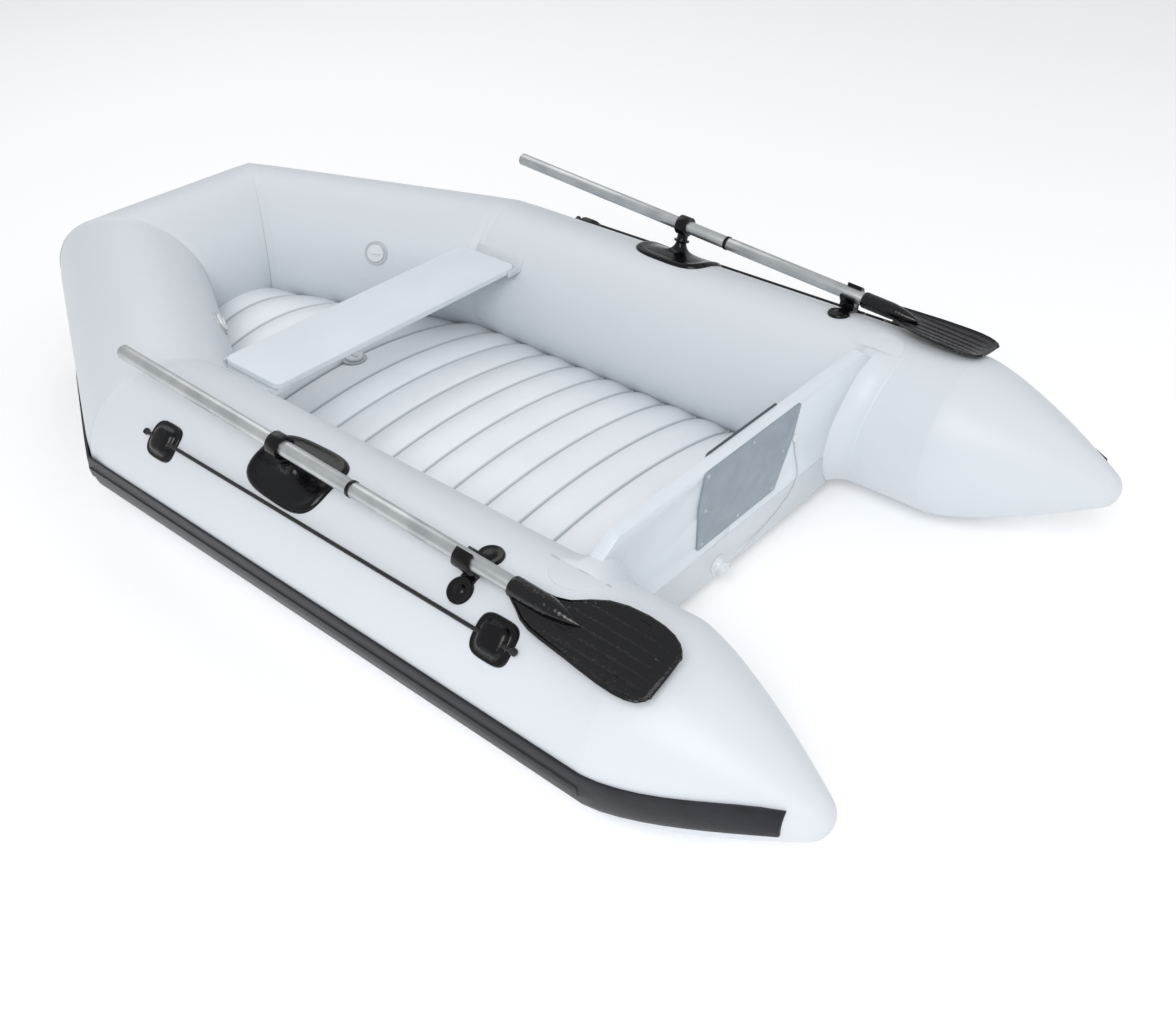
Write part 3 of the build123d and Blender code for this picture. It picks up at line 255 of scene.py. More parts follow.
def coated_fabric(name, colour, shade):
    """PVC coated polyester, calendered smooth: a soft sheen, a faint scrim and slack ripples of the cloth."""
    material, tree, shader, coords = finish_base(name, colour, 0.4, specular_ior_level=0.45,
                                                 sheen_weight=0.04)
    mottle(tree, shader, coords, shade, colour, 260)
    roughness_patches(tree, shader, coords, 0.34, 0.5, 140)
    # The polyester's threads are 1 mm apart and are drawn 3 mm apart, so that they show.
    scrim = add_node(tree, "ShaderNodeTexNoise", {"Scale": per_metre(3), "Detail": 2.0}, {"Vector": coords})
    ripple = add_node(tree, "ShaderNodeTexNoise", {"Scale": per_metre(90), "Detail": 2.0}, {"Vector": coords})
    first = relief(tree, shader, scrim.outputs["Fac"], 0.00012)
    relief(tree, shader, ripple.outputs["Fac"], 0.0016, before=first)
    return material


def groove_shaded_fabric(name, colour, shade):
    """The floor's coated fabric, with painted shade darkening its sewn grooves."""
    material = coated_fabric(name, colour, shade)
    sizes = bpy.context.scene.dinghy_floor
    tree = material.node_tree
    shader = tree.nodes["Principled BSDF"]
    coords = tree.nodes["Texture Coordinate"].outputs["Object"]
    place = add_node(tree, "ShaderNodeSeparateXYZ", links={"Vector": coords})
    shifted = add_node(tree, "ShaderNodeMath", {"operation": "SUBTRACT", 1: sizes.groove_start},
                       {0: place.outputs["X"]})
    phase = add_node(tree, "ShaderNodeMath", {"operation": "MULTIPLY", 1: pi / sizes.groove_pitch},
                     {0: shifted.outputs["Value"]})
    wave = add_node(tree, "ShaderNodeMath", {"operation": "SINE"}, {0: phase.outputs["Value"]})
    depth = add_node(tree, "ShaderNodeMath", {"operation": "ABSOLUTE"}, {0: wave.outputs["Value"]})
    # The painted shade line fades out about 7 mm to each side of a groove.
    line = add_node(tree, "ShaderNodeValToRGB", links={"Fac": depth.outputs["Value"]})
    line.color_ramp.elements[0].color = linear("#A9B0B7")
    line.color_ramp.elements[1].color = linear("#FFFFFF")
    line.color_ramp.elements[1].position = 0.2
    base = shader.inputs["Base Color"].links[0].from_socket
    mix = add_node(tree, "ShaderNodeMix", {"data_type": "RGBA", "blend_type": "MULTIPLY"})
    mix.inputs["Factor"].default_value = 1.0
    tree.links.new(base, mix.inputs[6])
    tree.links.new(line.outputs["Color"], mix.inputs[7])
    tree.links.new(mix.outputs[2], shader.inputs["Base Color"])
    return material


def moulded_black(name, colour):
    """Glass-filled nylon, injection moulded and glossy: sharp highlights on a slightly wavy skin."""
    material, tree, shader, coords = finish_base(name, colour, 0.2, specular_ior_level=0.24, coat_weight=0.12,
                                                 coat_roughness=0.05)
    roughness_patches(tree, shader, coords, 0.16, 0.3, 30)
    wave = add_node(tree, "ShaderNodeTexNoise", {"Scale": per_metre(9), "Detail": 2.0}, {"Vector": coords})
    relief(tree, shader, wave.outputs["Fac"], 0.0009)
    return material


def flecked_black(name, colour):
    """Glossy polypropylene from a worn mould: deep black, with bright sparkles where its wavy skin turns."""
    material, tree, shader, coords = finish_base(name, colour, 0.16, specular_ior_level=0.3, coat_weight=0.35,
                                                 coat_roughness=0.04)
    wave = add_node(tree, "ShaderNodeTexNoise", {"Scale": per_metre(14), "Detail": 2.0}, {"Vector": coords})
    dimple = add_node(tree, "ShaderNodeTexVoronoi", {"Scale": per_metre(7)}, {"Vector": coords})
    first = relief(tree, shader, wave.outputs["Fac"], 0.0016)
    relief(tree, shader, dimple.outputs["Distance"], 0.0007, before=first)
    return material


def extruded_rubber(name, colour):
    """Extruded rubber: dark, dull and scuffed along its length."""
    material, tree, shader, coords = finish_base(name, colour, 0.4, specular_ior_level=0.3)
    mottle(tree, shader, coords, colour, "#23252C", 45)
    squash = add_node(tree, "ShaderNodeMapping", {"Scale": (6.0, 260.0, 260.0)}, {"Vector": coords})
    scuff = add_node(tree, "ShaderNodeTexNoise", {"Scale": 1.0, "Detail": 4.0},
                     {"Vector": squash.outputs["Vector"]})
    relief(tree, shader, scuff.outputs["Fac"], 0.0003)
    return material


def painted_plywood(name, colour, shade):
    """Marine plywood under white paint: a smooth coat that lets a little of the grain through."""
    material, tree, shader, coords = finish_base(name, colour, 0.36, coat_weight=0.15, coat_roughness=0.2)
    mottle(tree, shader, coords, shade, colour, 180)
    stretch = add_node(tree, "ShaderNodeMapping", {"Scale": (240.0, 9.0, 240.0)}, {"Vector": coords})
    grain = add_node(tree, "ShaderNodeTexNoise", {"Scale": 1.0, "Detail": 5.0},
                     {"Vector": stretch.outputs["Vector"]})
    relief(tree, shader, grain.outputs["Fac"], 0.00025)
    return material


def pebbled_plastic(name, colour, shade):
    """Moulded polypropylene plate: grey, with a fine pebble grain from its mould."""
    material, tree, shader, coords = finish_base(name, colour, 0.5)
    mottle(tree, shader, coords, shade, colour, 40)
    pebble = add_node(tree, "ShaderNodeTexVoronoi", {"Scale": per_metre(2.5)}, {"Vector": coords})
    relief(tree, shader, pebble.outputs["Distance"], 0.0003)
    return material


def satin_plastic(name, colour, shade, roughness=0.38):
    """Moulded ABS or PVC: satin, with slight flow marks."""
    material, tree, shader, coords = finish_base(name, colour, roughness)
    mottle(tree, shader, coords, shade, colour, 60)
    flow = add_node(tree, "ShaderNodeTexNoise", {"Scale": per_metre(6), "Detail": 2.0}, {"Vector": coords})
    relief(tree, shader, flow.outputs["Fac"], 0.00025)
    return material


def anodised_aluminium(name):
    """Drawn and anodised aluminium tube: a satin metal with fine lines along its length."""
    material, tree, shader, coords = finish_base(name, "#C4C7C8", 0.36, metallic=0.85)
    mottle(tree, shader, coords, "#B4B8BA", "#D0D3D3", 70)
    along = add_node(tree, "ShaderNodeMapping", {"Scale": (7.0, 700.0, 700.0)}, {"Vector": coords})
    lines = add_node(tree, "ShaderNodeTexNoise", {"Scale": 1.0, "Detail": 4.0},
                     {"Vector": along.outputs["Vector"]})
    relief(tree, shader, lines.outputs["Fac"], 0.00012)
    return material


def stainless_steel(name):
    """Pressed stainless steel: bright, with fine polishing marks."""
    material, tree, shader, coords = finish_base(name, "#B9BCBE", 0.25, metallic=1.0)
    marks = add_node(tree, "ShaderNodeTexNoise", {"Scale": per_metre(0.8), "Detail": 3.0}, {"Vector": coords})
    relief(tree, shader, marks.outputs["Fac"], 0.00005)
    return material


def braided_cord(name, colour, shade, pitch):
    """Braided polyester cord: matt, with yarns that cross each other and painted shade in the gaps between
    them.
    """
    wave_scale = 0.159
    material, tree, shader, coords = finish_base(name, colour, 0.7, sheen_weight=0.1)
    one = add_node(tree, "ShaderNodeMapping", {"Rotation": (0.0, 0.0, radians(40))}, {"Vector": coords})
    two = add_node(tree, "ShaderNodeMapping", {"Rotation": (0.0, 0.0, radians(-40))}, {"Vector": coords})
    bands = [add_node(tree, "ShaderNodeTexWave", {"Scale": wave_scale * per_metre(pitch)},
                      {"Vector": side.outputs["Vector"]}) for side in (one, two)]
    cross = add_node(tree, "ShaderNodeMath", {"operation": "MAXIMUM"},
                     {0: bands[0].outputs["Fac"], 1: bands[1].outputs["Fac"]})
    # The gaps between the crossing yarns are painted darker, as shade.
    ramp = add_node(tree, "ShaderNodeValToRGB", links={"Fac": cross.outputs["Value"]})
    ramp.color_ramp.elements[0].color = linear(shade)
    ramp.color_ramp.elements[1].color = linear(colour)
    tree.links.new(ramp.outputs["Color"], shader.inputs["Base Color"])
    relief(tree, shader, cross.outputs["Value"], 0.0006)
    return material


FINISHES = {}


def finish(name):
    """The finish of that name, made once."""
    if name not in FINISHES:
        colours = bpy.context.scene.dinghy_colours
        makers = {
            "fabric": lambda: coated_fabric("pvc_coated_fabric", colours.fabric, "#D5DADF"),
            "tape": lambda: coated_fabric("seam_tape_fabric", "#DADFE3", "#D2D8DC"),
            "bottom": lambda: coated_fabric("bottom_fabric", "#D3D8DC", "#C8CED3"),
            "floor": lambda: groove_shaded_fabric("air_floor_fabric", "#EEF1F4", "#E6EAEE"),
            "black": lambda: moulded_black("moulded_nylon", colours.moulding),
            "blade": lambda: flecked_black("blade_polypropylene", colours.moulding),
            "strake": lambda: extruded_rubber("strake_rubber", colours.strake),
            "plywood": lambda: painted_plywood("painted_plywood", "#DDE3E9", "#D6DDE4"),
            "plate": lambda: pebbled_plastic("motor_plate_plastic", colours.plate, "#8A96A0"),
            # The inner plate is the same grey plastic as the outer one, drawn darker as painted shade.
            "inner_plate": lambda: pebbled_plastic("inner_plate_plastic_shaded_darker", "#4A5258", "#40474D"),
            "bracket": lambda: satin_plastic("seat_bracket_pvc", "#D3D8DC", "#CACFD4"),
            "white": lambda: satin_plastic("white_abs", "#E2E5E7", "#D8DCDF", 0.3),
            "valve": lambda: satin_plastic("valve_nylon", "#C3C9CC", "#B4BBBF", 0.3),
            "aluminium": lambda: anodised_aluminium("anodised_aluminium"),
            "steel": lambda: stainless_steel("stainless_steel"),
            "rope": lambda: braided_cord("braided_rope", "#141417", "#050506", 5),
            "cord": lambda: braided_cord("braided_white_cord", "#D9DCDD", "#B9BEC0", 2),
        }
        FINISHES[name] = makers[name]()
    return FINISHES[name]


# ---------------------------------------------------------------- making pieces

def piece(name, bm, finish_name, body, nodes=(), angle=40):
    """Turns a bmesh into a finished piece that rides on a body and stands for CAD nodes."""
    mesh = bpy.data.meshes.new(name)
    bm.to_mesh(mesh)
    bm.free()
    mesh.shade_smooth()
    mesh.set_sharp_from_angle(angle=radians(angle))
    mesh.materials.append(finish(finish_name))
    obj = bpy.data.objects.new(name, mesh)
    bpy.context.scene.collection.objects.link(obj)
    if nodes:
        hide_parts(*nodes)
    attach(obj, body)
    return obj


def mirrored(bm):
    """A copy of a port piece's bmesh, mirrored to starboard with its faces still outward."""
    twin = bm.copy()
    bmesh.ops.scale(twin, vec=(1, -1, 1), verts=twin.verts)
    bmesh.ops.reverse_faces(twin, faces=twin.faces)
    return twin


def pair(name, bm, finish_name, body="hull", nodes=(), angle=40):
    """The port and starboard pieces of one shape. A node name may hold {side}."""
    for side, shape in zip(SIDES, (bm, mirrored(bm))):
        names = [node.format(side=side) for node in nodes]
        piece(f"{name}_{side}", shape, finish_name, body, names, angle)


def sheet_of(u_steps, v_steps, place, merge=0.00002):
    """A grid laid where place(u, v) says, with u and v from 0 to 1, and welded where it meets itself."""
    bm = bmesh.new()
    bmesh.ops.create_grid(bm, x_segments=u_steps, y_segments=v_steps, size=0.5)
    for vert in bm.verts:
        vert.co = place(vert.co.x + 0.5, vert.co.y + 0.5)
    bmesh.ops.remove_doubles(bm, verts=bm.verts, dist=merge)
    bmesh.ops.dissolve_degenerate(bm, dist=merge, edges=bm.edges)
    bmesh.ops.recalc_face_normals(bm, faces=bm.faces)
    return bm


def joined(*parts):
    """Several bmeshes in one."""
    whole = parts[0]
    for part in parts[1:]:
        mesh = bpy.data.meshes.new("joining")
        part.to_mesh(mesh)
        part.free()
        whole.from_mesh(mesh)
        bpy.data.meshes.remove(mesh)
    return whole


def softened(node, rounding, segments=2):
    """A copy of a CAD node with its edges rounded."""
    bm = bmesh.new()
    bm.from_mesh(frame["nodes"][node].data)
    bmesh.ops.remove_doubles(bm, verts=bm.verts, dist=0.00001)
    bmesh.ops.dissolve_limit(bm, angle_limit=radians(0.5), verts=bm.verts, edges=bm.edges)
    sharp = [edge for edge in bm.edges if edge.is_manifold and edge.calc_face_angle(0) > radians(38)]
    bmesh.ops.bevel(bm, geom=sharp, offset=rounding, offset_type="OFFSET", segments=segments, profile=0.5,
                    affect="EDGES", clamp_overlap=True, material=-1)
    return bm


def soft_node(node, finish_name, rounding=None, angle=40):
    """Replaces a CAD node by its softened copy, on the same body."""
    size = rounding or bpy.context.scene.dinghy_fittings.bevel
    body = frame["nodes"][node]["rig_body"]
    piece("soft_" + node, softened(node, size), finish_name, body, [node], angle)


def paint_node(node, finish_name):
    """Gives a carried-over CAD node its finish."""
    obj = frame["nodes"][node]
    obj.data.materials.clear()
    obj.data.materials.append(finish(finish_name))


class Axis:
    """One straight tube: a point on its axis, its direction, and its outboard and upward sides."""

    def __init__(self, origin, direction, outboard):
        self.origin = Vector(origin)
        self.direction = Vector(direction).normalized()
        self.outboard = Vector(outboard).normalized()
        self.upward = self.direction.cross(self.outboard)

    def point(self, along, angle, radius):
        """A point at a distance along, an angle up from outboard and a radius."""
        side = self.outboard * cos(angle) + self.upward * sin(angle)
        return self.origin + self.direction * along + side * radius

    def on_skin(self, along, angle, across, height):
        """A point on the skin: across is measured round the tube from an angle, height out from the skin."""
        return self.point(along, angle + across / TUBE_RADIUS, TUBE_RADIUS + height)


def hull_axes():
    """Axes of the port side tube, the port bow section and the front section."""
    sizes = bpy.context.scene.dinghy_hull
    front_x = FRONT_HIGH.x - TUBE_RADIUS
    front_z = (FRONT_HIGH.z + FRONT_LOW.z) / 2
    run = (TUBE_Y - sizes.bow_front / 2) / (sin(sizes.bow_angle) / cos(sizes.bow_angle))
    mitre = Vector((front_x - run, TUBE_Y, TUBE_Z))
    corner = Vector((front_x, sizes.bow_front / 2, front_z))
    side = Axis((0, TUBE_Y, TUBE_Z), (1, 0, 0), (0, 1, 0))
    bow = Axis(mitre, corner - mitre, (sin(sizes.bow_angle), cos(sizes.bow_angle), 0))
    front = Axis((front_x, 0, front_z), (0, -1, 0), (1, 0, 0))
    return side, bow, front, mitre, corner


def run_between(axis, first, last, radius, rings, inset=(0.0, 0.0)):
    """Tube from one joint's plane to another's, as rings at shares of the run.

    first and last are (point, normal, bend): bend points to the outside of that joint's bend, or is None.
    """
    sizes = bpy.context.scene.dinghy_hull
    all_round = 0.12  # the pinch's share on every side of the tube

    def reach(angle, plane, shift):
        base = axis.point(0, angle, radius)
        point, normal = plane[0], plane[1]
        return ((point - base).dot(normal) + shift) / axis.direction.dot(normal)

    def place(u, v):
        angle = tau * v
        start = reach(angle, first, inset[0])
        end = reach(angle, last, -inset[1])
        share = rings(u)
        along = start + (end - start) * share
        side = axis.outboard * cos(angle) + axis.upward * sin(angle)
        pull = 0.0
        for plane, gap in ((first, along - start + inset[0]), (last, end - along + inset[1])):
            if plane[2] is not None:
                lean = side.dot(plane[2])
                fade = exp(-(gap / sizes.seam_reach) ** 2)
                pull += sizes.seam_pinch * fade * (max(lean, 0.0) ** 1.5 + all_round)
        return axis.point(along, angle, radius - pull)

    return place


def crowded(u):
    """Shares that crowd rings towards both ends."""
    return (1 - cos(pi * u)) / 2


def tube_piece(axis, first, last, steps):
    """One tube section between two joint planes."""
    return sheet_of(steps, HULL_SEGMENTS, run_between(axis, first, last, TUBE_RADIUS, crowded))


def tape_piece(axis, first, last, at_start):
    """Half of a seam tape: a thin raised band on one side of a joint."""
    sizes = bpy.context.scene.dinghy_hull
    width = sizes.tape_width / 2
    height = sizes.tape_height

    def place(u, v):
        lift = (-height, height, height, height)[round(u * 3)]
        gap = width * (1.0, 1.0, 0.5, 0.0)[round(u * 3)]
        spot = run_between(axis, first, last, TUBE_RADIUS + lift, lambda share: 0.0 if at_start else 1.0,
                           inset=(gap, 0.0) if at_start else (0.0, gap))
        return spot(0, v)

    return sheet_of(3, HULL_SEGMENTS, place)


def joints_of_hull():
    """Joint planes of the port side, from the stern to the front section's middle."""
    side, bow, front, mitre, corner = hull_axes()
    fold = (side.direction + bow.direction).normalized()
    turn = (bow.direction + front.direction).normalized()
    stern = (Vector((STERN_X, TUBE_Y, TUBE_Z)), Vector((1, 0, 0)), None)
    aft = (mitre, fold, (side.direction - bow.direction).normalized())
    fore = (corner, turn, (bow.direction - front.direction).normalized())
    return side, bow, front, stern, aft, fore


class DINGHY_OT_tubes(bpy.types.Operator):
    """Build the side tubes, bow sections and front section with their seam tapes"""
    bl_idname = "dinghy.tubes"
    bl_label = "Air tubes"

    def execute(self, context):
        side, bow, front, stern, aft, fore = joints_of_hull()
        flipped = (Vector((fore[0].x, -fore[0].y, fore[0].z)), Vector((-fore[1].x, fore[1].y, -fore[1].z)),
                   Vector((fore[2].x, -fore[2].y, fore[2].z)))
        pair("side_tube", tube_piece(side, stern, aft, 60), "fabric", nodes=["tube_{side}"])
        pair("bow_section", tube_piece(bow, aft, fore, 44), "fabric", nodes=["bow_tube_{side}"])
        piece("front_section", tube_piece(front, fore, flipped, 32), "fabric", "hull", ["front_tube"])
        tapes = joined(tape_piece(side, stern, aft, False), tape_piece(bow, aft, fore, True),
                       tape_piece(bow, aft, fore, False), tape_piece(front, fore, flipped, True))
        pair("seam_tape", tapes, "tape")
        paint_node("bulkhead", "fabric")
        return {"FINISHED"}


def cone_radius(share):
    """Radius of the stern cone at a share of its length."""
    sizes = bpy.context.scene.dinghy_hull
    return TUBE_RADIUS - (TUBE_RADIUS - sizes.cone_end) * share ** sizes.cone_swell


def cone_point(share, angle):
    """A point on the port stern cone."""
    sizes = bpy.context.scene.dinghy_hull
    radius = cone_radius(share)
    return Vector((STERN_X - share * sizes.cone_length,
                   TUBE_Y + sizes.cone_toe * share + radius * cos(angle),
                   TUBE_Z + radius * sin(angle)))


def tip_point(share, angle):
    """A point on the rounded tip, from where it leaves the cone to its pole."""
    sizes = bpy.context.scene.dinghy_hull
    slope = atan((TUBE_RADIUS - sizes.cone_end) * sizes.cone_swell / sizes.cone_length)
    ball = sizes.cone_end / cos(slope)
    turn = slope + (pi / 2 - slope) * share
    reach = sizes.cone_length + ball * (sin(turn) - sin(slope))
    radius = ball * cos(turn) if share < 1 else 0.0
    return Vector((STERN_X - reach, TUBE_Y + sizes.cone_toe + radius * cos(angle),
                   TUBE_Z + radius * sin(angle)))


class DINGHY_OT_cones(bpy.types.Operator):
    """Build the fabric stern cones and their rounded ends"""
    bl_idname = "dinghy.cones"
    bl_label = "Stern cones"

    def execute(self, context):
        cap_start = (STERN_X - CAP_HIGH.x) / context.scene.dinghy_hull.cone_length

        def fabric_cone(u, v):
            return cone_point(u * cap_start, tau * v)

        def rounded_end(u, v):
            if u <= 0.5:
                return cone_point(cap_start + (1 - cap_start) * u / 0.5, tau * v)
            return tip_point((u - 0.5) / 0.5, tau * v)

        pair("cone", sheet_of(48, HULL_SEGMENTS, fabric_cone), "fabric", nodes=["cone_{side}"])
        pair("cone_end", sheet_of(32, HULL_SEGMENTS, rounded_end), "fabric", nodes=["cone_cap_{side}"])
        return {"FINISHED"}


class DINGHY_OT_strakes(bpy.types.Operator):
    """Finish the rub strake round the hull"""
    bl_idname = "dinghy.strakes"
    bl_label = "Rub strake"

    def execute(self, context):
        for node in ("rub_strake_port", "rub_strake_starboard", "bow_strake"):
            soft_node(node, "strake", 0.0025)
        return {"FINISHED"}


class DINGHY_OT_floor(bpy.types.Operator):
    """Build the quilted air floor, and finish the bottom fabric and the keel"""
    bl_idname = "dinghy.floor"
    bl_label = "Air floor"

    def execute(self, context):
        sizes = context.scene.dinghy_floor
        hull = context.scene.dinghy_hull
        _, bow, _, mitre, _ = hull_axes()
        aft_x, fore_x = FLOOR_LOW.x, FLOOR_HIGH.x
        under_z, edge_z, crown, edge_lift = 0.045, 0.063, 0.061, 0.002
        side_gap, bow_gap = 0.004, 0.005
        fullness = 0.42  # below 1, the channels stay full and the grooves narrow
        aft_drop, aft_reach = 0.018, 0.016
        wide = FLOOR_HIGH.y - side_gap
        slope = sin(hull.bow_angle) / cos(hull.bow_angle)

        def rise(x):
            return max(0.0, x - mitre.x) * bow.direction.z / bow.direction.x

        def half_width(x):
            return min(wide, wide - (x - mitre.x + bow_gap) * slope)

        def top(u, v):
            x = aft_x + (fore_x - aft_x) * u
            across = 2 * v - 1
            phase = (x - sizes.groove_start) / sizes.groove_pitch
            swell = abs(sin(pi * phase)) ** fullness
            bow_of_groove = 1 - abs(across) ** 10
            height = edge_z + crown * (1 - across ** 2) + rise(x) - sizes.groove_depth * (1 - swell)
            height -= sizes.edge_drop * abs(across) ** 14 * (0.4 + 0.6 * (1 - swell))
            height -= aft_drop * exp(-((x - aft_x) / aft_reach) ** 2)
            return Vector((x, across * half_width(x), height + edge_lift * bow_of_groove))

        bm = sheet_of(560, 44, top, 0.000001)
        if bm.faces[0].normal.z < 0:
            bmesh.ops.reverse_faces(bm, faces=bm.faces)
        rim = [edge for edge in bm.edges if edge.is_boundary]
        walls = bmesh.ops.extrude_edge_only(bm, edges=rim)
        low = [item for item in walls["geom"] if isinstance(item, bmesh.types.BMVert)]
        for vert in low:
            vert.co.z = under_z + rise(vert.co.x)
        bmesh.ops.holes_fill(bm, edges=[edge for edge in bm.edges if edge.is_boundary])
        bmesh.ops.recalc_face_normals(bm, faces=bm.faces)
        floor = piece("air_floor", bm, "floor", "hull", ["floor"], 60)
        paint_node("bottom_skin", "bottom")
        paint_node("keel", "bottom")
        return {"FINISHED"}


class DINGHY_OT_transom(bpy.types.Operator):
    """Finish the transom board, plates, screws and skirt, and build its flanges and patches"""
    bl_idname = "dinghy.transom"
    bl_label = "Transom"

    def execute(self, context):
        soft_node("transom_board", "plywood", 0.003)
        pair("transom_flange", sheet_of(72, 56, self.flange), "fabric", nodes=["transom_holder_{side}"],
             angle=75)
        paint_node("transom_skirt", "bottom")
        soft_node("motor_plate_outer", "plate", 0.0012)
        # The inner plate's darker colour is painted shade.
        soft_node("motor_plate_inner", "inner_plate", 0.0015)
        soft_node("plate_screws", "steel", 0.0008)
        low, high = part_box("transom_patches")
        middle = (low.x + high.x) / 2
        side = hull_axes()[0]
        profile = [(0.0, 0.0012), (0.9, 0.0012), (0.985, 0.001), (1.0, -0.0006)]
        patch_turn, patch_radius = radians(105), 0.056
        pair("tube_patch", skin_patch(side, middle, patch_turn, round_outline(patch_radius), profile), "tape")
        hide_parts("transom_patches")
        return {"FINISHED"}

    @staticmethod
    def flange(u, v):
        """Fabric flange between the tube and both faces of the board, swept round to a soft ridge."""
        top_turn, sweep = 108, 121
        half_board, reach, lip = BOARD_THICKNESS / 2, 0.062, 0.024
        sink, bead = 0.0012, 0.0022
        ridge = 0.25  # share of the width that lies over the board's own thickness
        angle = radians(top_turn + sweep * u)
        out = abs(2 * v - 1)
        ends = min(1.0, u / 0.16) ** 0.5 * min(1.0, (1 - u) / 0.04 + 0.2)
        away = half_board * min(1.0, out / ridge) + reach * max(0.0, (out - ridge) / (1 - ridge))
        slack = 1 - max(0.0, away - half_board) / reach
        height = -sink + lip * ends * slack ** 2.4 + bead * min(1.0, slack * 12)
        z = TUBE_Z + (TUBE_RADIUS + height) * sin(angle)
        middle = transom_point(0, 0, 0)
        x = middle.x + (middle.z - z) * sin(RAKE) / cos(RAKE) + half_board
        return Vector((x + (away if v > 0.5 else -away), TUBE_Y + (TUBE_RADIUS + height) * cos(angle), z))


# ---------------------------------------------------------------- patches that follow the skin

def round_outline(radius):
    """Outline of a round patch."""
    return lambda angle: Vector((radius * cos(angle), radius * sin(angle)))


def squircle_outline(length, width, power, skew=0.0):
    """Outline of a rounded oblong: a higher power has squarer corners, and skew widens one end."""
    def outline(angle):
        c, s = cos(angle), sin(angle)
        reach = (abs(c) ** power + abs(s) ** power) ** (-1 / power)
        return Vector((length / 2 * reach * c, width / 2 * reach * s * (1 + skew * c)))
    return outline


def skin_patch(axis, along, angle, outline, profile, turns=72, inner=None):
    """A patch on a tube's skin, through profile's (share of the outline, height).

    inner, (share, radius), blends its middle into a round boss.
    """
    steps = len(profile) - 1

    def place(u, v):
        share, height = profile[min(steps, round(u * steps))]
        turn = tau * v
        spot = outline(turn) * share
        if inner and share < inner[0]:
            mix = 1 - share / inner[0]
            boss = Vector((cos(turn), sin(turn))) * inner[1] * share / inner[0]
            spot = spot.lerp(boss, min(1.0, 1.6 * mix))
        return axis.on_skin(along + spot.x, angle, spot.y, height)

    return sheet_of(steps, turns, place)


class DINGHY_OT_rowlocks(bpy.types.Operator):
    """Build the rowlock bases and finish the swivelling rings"""
    bl_idname = "dinghy.rowlocks"
    bl_label = "Rowlocks"

    def execute(self, context):
        sizes = context.scene.dinghy_fittings
        side = hull_axes()[0]
        low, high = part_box("rowlock_base_port")
        middle = (low.x + high.x) / 2
        squareness, taper = 3.4, -0.06
        post = (0.3, 0.03)
        profile = [(0.0, 0.0338), (0.11, 0.0338), (0.125, 0.0325), (0.135, 0.029), (0.15, 0.024),
                   (0.18, 0.018), (0.22, 0.0135), (0.28, 0.0098), (0.36, 0.0078), (0.46, 0.0068),
                   (0.6, 0.006), (0.72, 0.0055), (0.8, 0.0058), (0.85, 0.0078), (0.89, 0.0086),
                   (0.93, 0.0078), (0.965, 0.0055), (0.99, 0.0028), (1.0, -0.001)]
        outline = squircle_outline(sizes.lock_length, sizes.lock_width, squareness, taper)
        base = skin_patch(side, middle, radians(FITTING_TURN), outline, profile, inner=post)
        pair("rowlock_foot", base, "black", nodes=["rowlock_base_{side}"])
        for name in SIDES:
            soft_node(f"rowlock_ring_{name}", "black", 0.002)
        return {"FINISHED"}


class DINGHY_OT_keepers(bpy.types.Operator):
    """Build the oar keepers' pads and finish their clips"""
    bl_idname = "dinghy.keepers"
    bl_label = "Oar keepers"

    def execute(self, context):
        side = hull_axes()[0]
        low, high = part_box("oar_keeper_base_port")
        middle = (low.x + high.x) / 2
        profile = [(0.0, 0.0078), (0.2, 0.0078), (0.32, 0.0072), (0.42, 0.0052), (0.6, 0.005), (0.76, 0.0062),
                   (0.88, 0.0066), (0.95, 0.0052), (0.99, 0.0025), (1.0, -0.001)]
        bridge = [(0.0, 0.0056), (0.8, 0.0056), (0.93, 0.0046), (1.0, -0.001)]
        pad_radius, pad_turn = 0.027, 12.8
        strap = squircle_outline(0.034, 0.075, 5.0)
        parts = [skin_patch(side, middle, radians(FITTING_TURN + turn), round_outline(pad_radius), profile,
                            turns=48) for turn in (-pad_turn, pad_turn)]
        parts.append(skin_patch(side, middle, radians(FITTING_TURN), strap, bridge, turns=48))
        pair("keeper_foot", joined(*parts), "black", nodes=["oar_keeper_base_{side}"])
        for name in SIDES:
            soft_node(f"oar_keeper_clip_{name}", "black", 0.0018)
        return {"FINISHED"}


# Grab line route, port side: along the boat, angle round the tube in degrees, height above the skin.
GRAB_LINE = [(0.305, 45, 0.009), (0.252, 45, 0.009), (0.02, 45, 0.009), (-0.24, 45, 0.009),
             (-0.50, 45, 0.009), (-0.729, 45, 0.009), (-0.781, 45, 0.009)]
LINE_HEIGHT = 0.009
PAD_PLACES = (0.252, -0.729)
KNOT_PLACES = (0.306, -0.782)

# Drain lanyard route on the transom: to starboard, up the board, and out from its aft face, in metres.
LANYARD = [(0.178, -0.108, 0.003), (0.194, -0.142, 0.0022), (0.212, -0.178, 0.002), (0.231, -0.212, 0.002),
           (0.242, -0.242, 0.003), (0.241, -0.269, 0.0036), (0.225, -0.294, 0.0034), (0.196, -0.316, 0.0033),
           (0.158, -0.332, 0.0034), (0.112, -0.342, 0.004), (0.068, -0.345, 0.007), (0.03, -0.341, 0.0135),
           (0.003, -0.334, 0.0186), (-0.02, -0.3325, 0.0196)]


